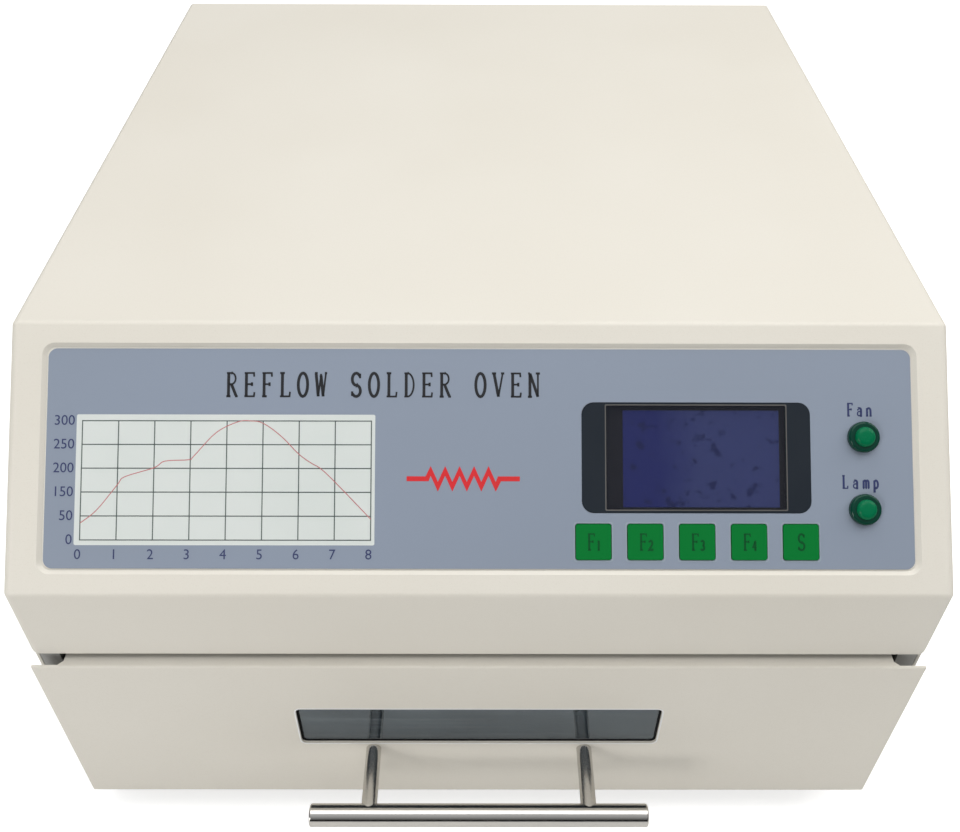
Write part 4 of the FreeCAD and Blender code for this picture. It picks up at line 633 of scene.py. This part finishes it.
letterStrokes = {
    "R": [stem(0.10), foot(0.10, 0), ("h", [(0.02, 1.0), (0.22, 1.0)] + bow(0.22, 0.76, 0.18, 0.24, 90, -90)
          + [(0.10, 0.52)]), ("s", [(0.22, 0.52), (0.42, 0.03)]), foot(0.44, 0, 0.06)],
    "E": [stem(0.10), ("h", [(0.02, 1.0), (0.42, 1.0), (0.43, 0.84)]), ("h", [(0.10, 0.52), (0.34, 0.52)]),
          ("f", [(0.34, 0.60), (0.34, 0.44)]), ("h", [(0.02, 0.0), (0.43, 0.0), (0.45, 0.18)])],
    "F": [stem(0.10), foot(0.12, 0, 0.10), ("h", [(0.02, 1.0), (0.42, 1.0), (0.43, 0.84)]),
          ("h", [(0.10, 0.52), (0.33, 0.52)]), ("f", [(0.33, 0.60), (0.33, 0.44)])],
    "L": [stem(0.12), foot(0.12, 1, 0.10), ("h", [(0.02, 0.0), (0.43, 0.0), (0.45, 0.20)])],
    "O": [("s", bow(0.24, 0.5, 0.20, 0.5, 0, 360, 24))],
    "D": [stem(0.10), ("h", [(0.02, 1.0), (0.16, 1.0)] + bow(0.16, 0.5, 0.26, 0.5, 90, -90, 14)
          + [(0.02, 0.0)])],
    "N": [stem(0.08), ("s", [(0.08, 1.0), (0.42, 0.0)]), ("h", [(0.42, 0.0), (0.42, 1.0)]), foot(0.08, 0),
          foot(0.42, 1), ("f", [(0.0, 1.0), (0.08, 1.0)])],
    "V": [("s", [(0.06, 1.0), (0.25, 0.0)]), ("h", [(0.25, 0.0), (0.43, 1.0)]), foot(0.06, 1),
          foot(0.43, 1, 0.07)],
    "W": [("s", [(0.04, 1.0), (0.14, 0.0)]), ("h", [(0.14, 0.0), (0.25, 0.9)]),
          ("s", [(0.25, 0.9), (0.35, 0.0)]), ("h", [(0.35, 0.0), (0.46, 1.0)]), foot(0.05, 1, 0.06),
          foot(0.46, 1, 0.05), foot(0.25, 0.92, 0.04)],
    "S": [("s", bow(0.24, 0.74, 0.17, 0.26, 30, 270, 12) + bow(0.24, 0.24, 0.18, 0.24, 90, -150, 12)),
          ("f", [(0.40, 0.78), (0.40, 0.98)]), ("f", [(0.07, 0.22), (0.07, 0.02)])],
    "a": [("s", [(0.12, 0.56)] + bow(0.24, 0.46, 0.13, 0.16, 150, 0, 8) + [(0.37, 0.0), (0.45, 0.0)]),
          ("h", [(0.37, 0.38)] + bow(0.22, 0.18, 0.14, 0.17, 70, 300, 12) + [(0.37, 0.12)])],
    "n": [stem(0.10, 0, 0.62), foot(0.10, 0), foot(0.38, 0),
          ("s", bow(0.24, 0.42, 0.14, 0.20, 150, 0, 8) + [(0.38, 0.0)])],
    "m": [stem(0.06, 0, 0.62), foot(0.06, 0, 0.05), foot(0.26, 0, 0.05), foot(0.46, 0, 0.05),
          ("s", bow(0.16, 0.46, 0.10, 0.16, 150, 0, 6) + [(0.26, 0.0)]),
          ("s", bow(0.36, 0.46, 0.10, 0.16, 150, 0, 6) + [(0.46, 0.0)])],
    "p": [stem(0.10, -0.28, 0.62), foot(0.10, -0.28), ("s", bow(0.22, 0.31, 0.16, 0.31, 130, -130, 14))],
    "1": [stem(0.24), foot(0.24, 0, 0.12), ("h", [(0.24, 1.0), (0.12, 0.86)])],
    "2": [("s", bow(0.24, 0.72, 0.17, 0.28, 160, -40, 10) + [(0.06, 0.0), (0.42, 0.0), (0.44, 0.16)])],
    "3": [("s", bow(0.22, 0.75, 0.16, 0.25, 150, -90, 10)), ("s", bow(0.22, 0.25, 0.19, 0.25, 90, -150, 10))],
    "4": [stem(0.32), ("h", [(0.32, 1.0), (0.04, 0.30), (0.46, 0.30)]), foot(0.32, 0, 0.10)],
}
strokeShare = {"s": 1.0, "h": 0.62, "f": 0.75}


def addLetters(work, words, left, base, height, pitch, weight, low, high):
    for index, letter in enumerate(words):
        for kind, points in letterStrokes.get(letter, []):
            start = left + index * pitch
            line = [(start + x * height, base + y * height) for x, y in points]
            if letter == "O":
                line[-1] = line[0]
            addStroke(work, line, strokeShare[kind] * weight, low, high)


# A lamp's word has its left end, its base, its height, the step between letters and its weight.
panelWords = {"title": "REFLOW SOLDER OVEN", "titleLeft": -99.7, "titleRight": 23.5, "titleBase": 24.2,
              "titleHeight": 9.2, "titleWeight": 1.15, "titleSpread": 1.02, "ink": 0.05,
              "lampWords": [("Fan", 144.4, 16.9, 4.9, 3.7, 0.8), ("Lamp", 141.9, -11.5, 4.9, 4.05, 0.8)]}


def makeWords():
    work = bmesh.new()
    pitch = (panelWords["titleRight"] - panelWords["titleLeft"]) / len(panelWords["title"])
    addLetters(work, panelWords["title"], panelWords["titleLeft"], panelWords["titleBase"],
               panelWords["titleHeight"], pitch * panelWords["titleSpread"], panelWords["titleWeight"],
               0, panelWords["ink"])
    pieceFromBmesh("panel_title", work, "root", inks["blackInk"], panelPlace)
    work = bmesh.new()
    for words, left, base, height, step, weight in panelWords["lampWords"]:
        addLetters(work, words, left, base, height, step, weight, 0, panelWords["ink"])
    pieceFromBmesh("lamp_labels", work, "root", inks["navyInk"], panelPlace)


makeWords()

# The red mark is the drawing sign of a heating resistor.
heatMark = {"left": -28.6, "right": 15.7, "middle": -8.05, "rise": 3.1, "teeth": 5, "lead": 8.0,
            "line": 1.9, "ink": 0.05}


def makeHeatMark():
    look = heatMark
    start, end = look["left"] + look["lead"], look["right"] - look["lead"]
    step = (end - start) / (2 * look["teeth"])
    line = [(look["left"], look["middle"]), (start, look["middle"])]
    for tooth in range(2 * look["teeth"]):
        rise = look["rise"] if tooth % 2 == 0 else -look["rise"]
        line.append((start + (tooth + 0.5) * step, look["middle"] + rise))
    line += [(end, look["middle"]), (look["right"], look["middle"])]
    work = bmesh.new()
    addStroke(work, line, look["line"], 0, look["ink"])
    pieceFromBmesh("heat_mark", work, "root", inks["redInk"], panelPlace)


makeHeatMark()

# Slate print round the clear part of the display window, with the pale line of the display's frame.
# Both boxes are left, right, bottom and top.
windowPrint = {"whole": (39.95, 129.75, -21.35, 22.05), "radius": 4.8,
               "clear": (49.1, 120.6, -20.4, 21.3), "corner": 0.5, "ink": 0.02, "line": 0.45}


def makeWindowPrint():
    look = windowPrint
    outer = roundedOutline(*look["whole"], look["radius"])
    inner = roundedOutline(*look["clear"], look["corner"])
    work = bmesh.new()
    addRing(work, outer, inner, -look["ink"], look["ink"])
    pieceFromBmesh("window_print", work, "root", inks["slateInk"], panelPlace)
    shrunk = roundedOutline(*inset(look["clear"], look["line"]), look["corner"])
    work = bmesh.new()
    addRing(work, inner, shrunk, -look["ink"], look["ink"])
    pieceFromBmesh("window_frame_line", work, "root", inks["frameLineInk"], panelPlace)


makeWindowPrint()

keyMarks = {"labels": {"key_1": "F1", "key_2": "F2", "key_3": "F3", "key_4": "F4", "key_start": "S"},
            "height": 6.2, "digit": 3.6, "letterWide": 0.46, "digitWide": 0.5, "digitShift": 0.56,
            "weight": 0.80, "ink": 0.03, "sink": 0.01, "haloStart": 7.15, "haloWidth": 0.55,
            "halo": 0.03, "haloCorners": (1.0, 0.8), "haloSteps": 3}


# The middle of a piece on the slope, and the level of its top.
def placeOnSlope(node):
    points = [vert.co - panelCentre for vert in nodes[node].data.vertices]
    rights = [point.x / mm for point in points]
    ups = [point.dot(upSlope) / mm for point in points]
    levels = [point.dot(outward) / mm for point in points]
    return (min(rights) + max(rights)) / 2, (min(ups) + max(ups)) / 2, max(levels)


def makeKeyMarks():
    halos = bmesh.new()
    for node, label in keyMarks["labels"].items():
        x, y, top = placeOnSlope(node)
        work = bmesh.new()
        height = keyMarks["height"]
        wide = keyMarks["letterWide"] * height + (keyMarks["digitWide"] * keyMarks["digit"]
                                                  if len(label) > 1 else 0)
        left = x - wide / 2
        low, high = top - keyMarks["sink"], top + keyMarks["ink"]
        addLetters(work, label[0], left, y - height / 2, height, 0, keyMarks["weight"], low, high)
        addLetters(work, label[1:], left + keyMarks["digitShift"] * height, y - height / 2,
                   keyMarks["digit"], 0, keyMarks["weight"], low, high)
        pieceFromBmesh(node + "_mark", work, node, inks["keyMarkInk"], panelPlace)
        # a pale ring is laid round each key
        near, far = keyMarks["haloStart"], keyMarks["haloStart"] + keyMarks["haloWidth"]
        outer, inner = (roundedOutline(*inset((x, x, y, y), -half), corner, keyMarks["haloSteps"])
                        for half, corner in zip((far, near), keyMarks["haloCorners"]))
        addRing(halos, outer, inner, 0, keyMarks["halo"])
    pieceFromBmesh("key_halos", halos, "root", inks["paleKeyRingTone"], panelPlace)


makeKeyMarks()
print("panel printed")


# A brighter domed lens sits over the flat one of each lamp.
lensLook = {"radius": 3.95, "high": 2.0, "above": 0.3, "foot": 0.2, "steps": 8, "sides": 40,
            "smooth": 40}


def makeLenses(look):
    lenses = bmesh.new()
    for node in ("fan_lamp", "heater_lamp"):
        x, y, top = placeOnSlope(node)
        low = top + look["above"] - look["high"]
        rows = [(look["radius"], 0.0)]
        for step in range(look["steps"]):
            angle = math.radians(90 * step / look["steps"])
            rows.append((look["radius"] * math.sqrt(math.cos(angle)),
                         look["foot"] + (look["high"] - look["foot"]) * math.sin(angle)))
        circles = [[lenses.verts.new((x + out * math.cos(math.tau * side / look["sides"]),
                                      y + out * math.sin(math.tau * side / look["sides"]), low + up))
                    for side in range(look["sides"])] for out, up in rows]
        for circle, above in zip(circles, circles[1:]):
            for side in range(look["sides"]):
                after = (side + 1) % look["sides"]
                lenses.faces.new((circle[side], circle[after], above[after], above[side]))
        lenses.faces.new(circles[0][::-1])
        lenses.faces.new(circles[-1])
    pieceFromBmesh("lamp_lenses", lenses, "root", finishes["lensGreen"], panelPlace,
                   look["smooth"])


makeLenses(lensLook)

# A black bead runs round the drawer's opening, against the glass. It stands both for a gasket and for painted
# shade in the gap between sheet and glass. A pale band on the front face round the opening is a painted
# highlight of the sheet's lit cut edge.
sealShadeAndHighlightLook = {"corner": 0.8, "wide": 1.2, "thick": 0.12, "radius": 2.4, "sink": 0.02, "edge": 0.7,
            "highlightThick": 0.05, "level": 0.05}


def makeSeal(look):
    glass = cornersOf([vert.co for vert in nodes["window_glass"].data.vertices])
    front = nodes["drawer_front"].data
    inside = glass[0].y
    rim = [vert.co for vert in front.vertices if abs(vert.co.y - inside) < look["level"] * mm
           and look["corner"] * glass[1].x < abs(vert.co.x) < glass[1].x
           and glass[0].z < vert.co.z < glass[1].z]
    low, high = (corner / mm for corner in cornersOf(rim))
    box = (low.x, high.x, low.z, high.z)
    # the black bead is a gasket and also painted shade of the gap between sheet and glass
    outer = roundedOutline(*inset(box, look["sink"]), look["radius"])
    inner = roundedOutline(*inset(box, look["wide"]), look["radius"] - look["wide"] / 2)
    work = bmesh.new()
    addRing(work, outer, inner, 0, look["thick"])
    upright = Matrix.Rotation(math.pi / 2, 4, "X")
    place = Matrix.Translation((0, inside, 0)) @ Matrix.Scale(mm, 4) @ upright
    pieceFromBmesh("window_seal", work, "drawer", finishes["sealAndGapShadeBlack"], place)
    # painted highlight: a pale band on the front face round the opening stands for the lit cut edge of the
    # sheet
    outer = roundedOutline(*inset(box, -look["edge"]), look["radius"] + look["edge"])
    inner = roundedOutline(*box, look["radius"])
    work = bmesh.new()
    addRing(work, outer, inner, 0, look["highlightThick"])
    place.translation = (0, min(vert.co.y for vert in front.vertices), 0)
    pieceFromBmesh("window_edge", work, "drawer", finishes["edgeHighlightPaint"], place)


makeSeal(sealShadeAndHighlightLook)

coil = {"turnPitch": 4.2 * mm, "wire": 0.45 * mm, "sides": 5, "pointsPerTurn": 10}


def makeCoilTree():
    tree, given = newTree("woundWire", {
        "Geometry": "Geometry", "Turns": "Float", "Radius": "Float", "Length": "Float", "Wire": "Float",
        "Points": "Int", "Sides": "Int", "Finish": "Material"})
    spiral = addNode(tree, "GeometryNodeCurveSpiral", {
        "Resolution": given["Points"], "Rotations": given["Turns"], "Start Radius": given["Radius"],
        "End Radius": given["Radius"], "Height": given["Length"]})
    ring = addNode(tree, "GeometryNodeCurvePrimitiveCircle",
                   {"Resolution": given["Sides"], "Radius": given["Wire"]})
    wire = addNode(tree, "GeometryNodeCurveToMesh",
                   {"Curve": spiral.outputs[0], "Profile Curve": ring.outputs[0], "Fill Caps": True})
    laid = addNode(tree, "GeometryNodeTransform",
                   {"Geometry": wire.outputs[0], "Rotation": (0, math.pi / 2, 0)})
    copies = addNode(tree, "GeometryNodeInstanceOnPoints", {"Points": given["Geometry"],
                                                            "Instance": laid.outputs["Geometry"]})
    return endTree(tree, copies.outputs[0], given["Finish"])


def makeCoils():
    rods = [cornersOf(part) for part in looseParts("heater_elements")]
    starts = bpy.data.meshes.new("coil_starts")
    ends = [(low.x, (low.y + high.y) / 2, (low.z + high.z) / 2) for low, high in rods]
    starts.from_pydata(ends, [], [])
    low, high = rods[0]
    turns = (high.x - low.x) / coil["turnPitch"]
    mesh = runTree("heater_coils", makeCoilTree(), {
        "Turns": turns, "Radius": (high.z - low.z) / 2 - coil["wire"], "Length": high.x - low.x,
        "Wire": coil["wire"], "Points": coil["pointsPerTurn"], "Sides": coil["sides"],
        "Finish": finishes["heatingWire"]}, starts)
    piece = pieceFromMesh("heater_coils", mesh, "root")
    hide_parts("heater_elements")


makeCoils()

screwLook = {"radius": 3.6 * mm, "high": 2.2 * mm, "shank": 2.0 * mm, "depth": 5.0 * mm, "dome": 0.65,
             "slotWide": 0.9 * mm, "slotLong": 3.9 * mm, "slotDeep": 1.1 * mm, "sides": 24, "rings": 5,
             "smooth": 40, "rim": 0.9}


# One screw, head up along +Z from its seat at the origin.
def makeScrewShape(look):
    work = bmesh.new()
    profile = [(0.0, -look["depth"]), (look["shank"], -look["depth"]), (look["shank"], 0.0),
               (look["radius"], 0.0)]
    flat = 1 - look["dome"]
    for step in range(look["rings"]):
        angle = math.radians(90 * step / look["rings"])
        profile.append((look["radius"] * (flat + look["dome"] * math.cos(angle)),
                        look["high"] * (flat + look["dome"] * math.sin(angle))))
    profile.append((0.0, look["high"]))
    verts = [work.verts.new((radius, 0, height)) for radius, height in profile]
    edges = [work.edges.new(pair) for pair in zip(verts, verts[1:])]
    bmesh.ops.spin(work, geom=verts + edges, axis=(0, 0, 1), cent=(0, 0, 0), angle=math.tau,
                   steps=look["sides"], use_merge=False)
    bmesh.ops.remove_doubles(work, verts=work.verts, dist=1e-7)
    bmesh.ops.recalc_face_normals(work, faces=work.faces)
    body = addObject("screw_shape", meshFromBmesh("screw_shape", work))
    cutters = []
    for long, wide in ((look["slotLong"], look["slotWide"]), (look["slotWide"], look["slotLong"])):
        work = bmesh.new()
        half = [(-long / 2, -wide / 2), (long / 2, -wide / 2), (long / 2, wide / 2), (-long / 2, wide / 2)]
        addPrism(work, half, look["high"] - look["slotDeep"], look["high"] * 2)
        cutter = addObject("cross_cutter", meshFromBmesh("cross_cutter", work))
        modifier = body.modifiers.new("recess", "BOOLEAN")
        modifier.operation = "DIFFERENCE"
        modifier.object = cutter
        cutters.append(cutter)
    made = evaluatedMesh(body)
    body.modifiers.clear()
    body.data = made
    for cutter in cutters:
        bpy.data.objects.remove(cutter)
    smoothFaces(made, look["smooth"])
    return body


# Puts the shape on each point, its +Z along the point's "facing".
def makeSetTree():
    tree, given = newTree("shapeOnPoints", {"Geometry": "Geometry", "Shape": "Object", "Size": "Float",
                                            "Finish": "Material"})
    facing = addNode(tree, "GeometryNodeInputNamedAttribute", {"Name": "facing"}, data_type="FLOAT_VECTOR")
    turned = addNode(tree, "FunctionNodeAlignRotationToVector", {"Vector": facing.outputs[0]}, axis="Z")
    shape = addNode(tree, "GeometryNodeObjectInfo", {"Object": given["Shape"]})
    copies = addNode(tree, "GeometryNodeInstanceOnPoints", {
        "Points": given["Geometry"], "Instance": shape.outputs["Geometry"], "Rotation": turned.outputs[0],
        "Scale": given["Size"]})
    return endTree(tree, copies.outputs[0], given["Finish"])


def screwSeats(node, look):
    seats = []
    for part in looseParts(node):
        low, high = cornersOf(part)
        size = high - low
        axis = max(range(3), key=lambda index: abs(size[index] - 2 * look["radius"]))
        middle = (low + high) / 2
        wide = [point for point in part if math.dist(
            [point[index] for index in range(3) if index != axis],
            [middle[index] for index in range(3) if index != axis]) > look["radius"] * look["rim"]]
        headMiddle = sum(point[axis] for point in wide) / len(wide)
        way = 1 if headMiddle > middle[axis] else -1
        end = high[axis] if way > 0 else low[axis]
        seat = middle.copy()
        seat[axis] = end - way * look["high"]
        facing = Vector((0, 0, 0))
        facing[axis] = way
        seats.append((seat, facing))
    return seats


def makeScrews():
    shape = makeScrewShape(screwLook)
    seats = screwSeats("casing_screws", screwLook)
    points = bpy.data.meshes.new("screw_seats")
    points.from_pydata([seat for seat, facing in seats], [], [])
    ways = points.attributes.new("facing", "FLOAT_VECTOR", "POINT")
    for entry, (seat, facing) in zip(ways.data, seats):
        entry.vector = facing
    mesh = runTree("casing_screw_set", makeSetTree(), {"Shape": shape, "Size": 1.0,
                                                       "Finish": finishes["brightZinc"]}, points)
    bpy.data.objects.remove(shape)
    piece = pieceFromMesh("casing_screw_set", mesh, "root")
    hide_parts("casing_screws")


makeScrews()
print("coils and screws made")


stageLook = {"size": 6.0, "floor": (0.90, 0.895, 0.885), "glow": 0.6}


def makeStage(look):
    mesh = bpy.data.meshes.new("floor")
    half = look["size"] / 2
    low = cadBox[0].z
    mesh.from_pydata([(-half, -half, low), (half, -half, low), (half, half, low), (-half, half, low)], [],
                     [(0, 1, 2, 3)])
    floor = addObject("floor", mesh)
    paper = makeFinish("paleFloor", {"colour": look["floor"], "second": look["floor"], "grain": 300,
                                     "marking": 0.02, "rough": (0.6, 0.7), "height": 0.02 * mm})
    # the paper's own brightness is only for the camera, so that it lights nothing
    glow = addNode(paper.node_tree, "ShaderNodeLightPath").outputs["Is Camera Ray"]
    shader = paper.node_tree.nodes["Principled BSDF"]
    paper.node_tree.links.new(spread(paper.node_tree, glow, 0.0, look["glow"], 0.0, 1.0),
                              shader.inputs["Emission Strength"])
    shader.inputs["Emission Color"].default_value = (1, 1, 1, 1)
    mesh.materials.append(paper)


makeStage(stageLook)

lamps = {
    "overheadSoftbox": {"place": (0, 0.10, 1.6), "size": 1.5, "power": 12.3, "colour": (1.0, 0.985, 0.96)},
    "leftWindow": {"place": (-1.1, -1.5, 0.55), "size": 0.6, "power": 8.2, "colour": (1.0, 0.99, 0.97)},
    "rightTop": {"place": (1.2, 0.05, 1.2), "size": 0.8, "power": 6.6, "colour": (1.0, 0.985, 0.96)},
}
lampTarget = (0, 0, 0.12)
sky = {"start": 0.2, "end": 1.0, "low": 0.0, "high": 0.725, "colour": (0.97, 0.985, 1.0, 1)}


def makeLights():
    target = Vector(lampTarget)
    for name, look in lamps.items():
        light = bpy.data.lights.new(name, "AREA")
        light.shape = "SQUARE"
        light.size = look["size"]
        light.energy = look["power"]
        light.color = look["colour"]
        holder = addObject(name, light)
        holder.location = look["place"]
        holder.rotation_euler = (target - holder.location).to_track_quat("-Z", "Y").to_euler()
    world = bpy.data.worlds.new("studio")
    world.use_nodes = True
    tree = world.node_tree
    background = tree.nodes["Background"]
    way = addNode(tree, "ShaderNodeTexCoord").outputs["Generated"]
    height = addNode(tree, "ShaderNodeSeparateXYZ", {0: way}).outputs["Z"]
    ramp = spread(tree, height, sky["low"], sky["high"], sky["start"], sky["end"])
    seen = addNode(tree, "ShaderNodeLightPath").outputs["Is Camera Ray"]
    strength = addNode(tree, "ShaderNodeMath", {0: ramp, 1: seen}, operation="MAXIMUM")
    tree.links.new(strength.outputs[0], background.inputs["Strength"])
    background.inputs["Color"].default_value = sky["colour"]
    bpy.context.scene.world = world
    bpy.context.scene.view_settings.view_transform = "Standard"


makeLights()

shot = {"place": (-1.15 * mm, -430.6 * mm, 479.1 * mm), "pitch": 42.41, "yaw": 0.24, "roll": 0.26,
        "focal": 1011.7, "imageWide": 960, "sensor": 36.0, "near": 0.01}


def makeCamera(look):
    pitch, yaw, roll = (math.radians(look[name]) for name in ("pitch", "yaw", "roll"))
    ahead = Vector((math.sin(yaw) * math.cos(pitch), math.cos(yaw) * math.cos(pitch), -math.sin(pitch)))
    right = ahead.cross(Vector((0, 0, 1))).normalized()
    up = right.cross(ahead)
    rolledRight = right * math.cos(roll) + up * math.sin(roll)
    rolledUp = up * math.cos(roll) - right * math.sin(roll)
    camera = bpy.data.cameras.new("camera")
    camera.sensor_width = look["sensor"]
    camera.lens = look["focal"] / look["imageWide"] * look["sensor"]
    camera.clip_start = look["near"]
    holder = addObject("camera", camera)
    turn = Matrix((rolledRight, rolledUp, -ahead)).transposed().to_4x4()
    holder.matrix_world = Matrix.Translation(look["place"]) @ turn
    bpy.context.scene.camera = holder


makeCamera(shot)
print("stage, lights and camera set")
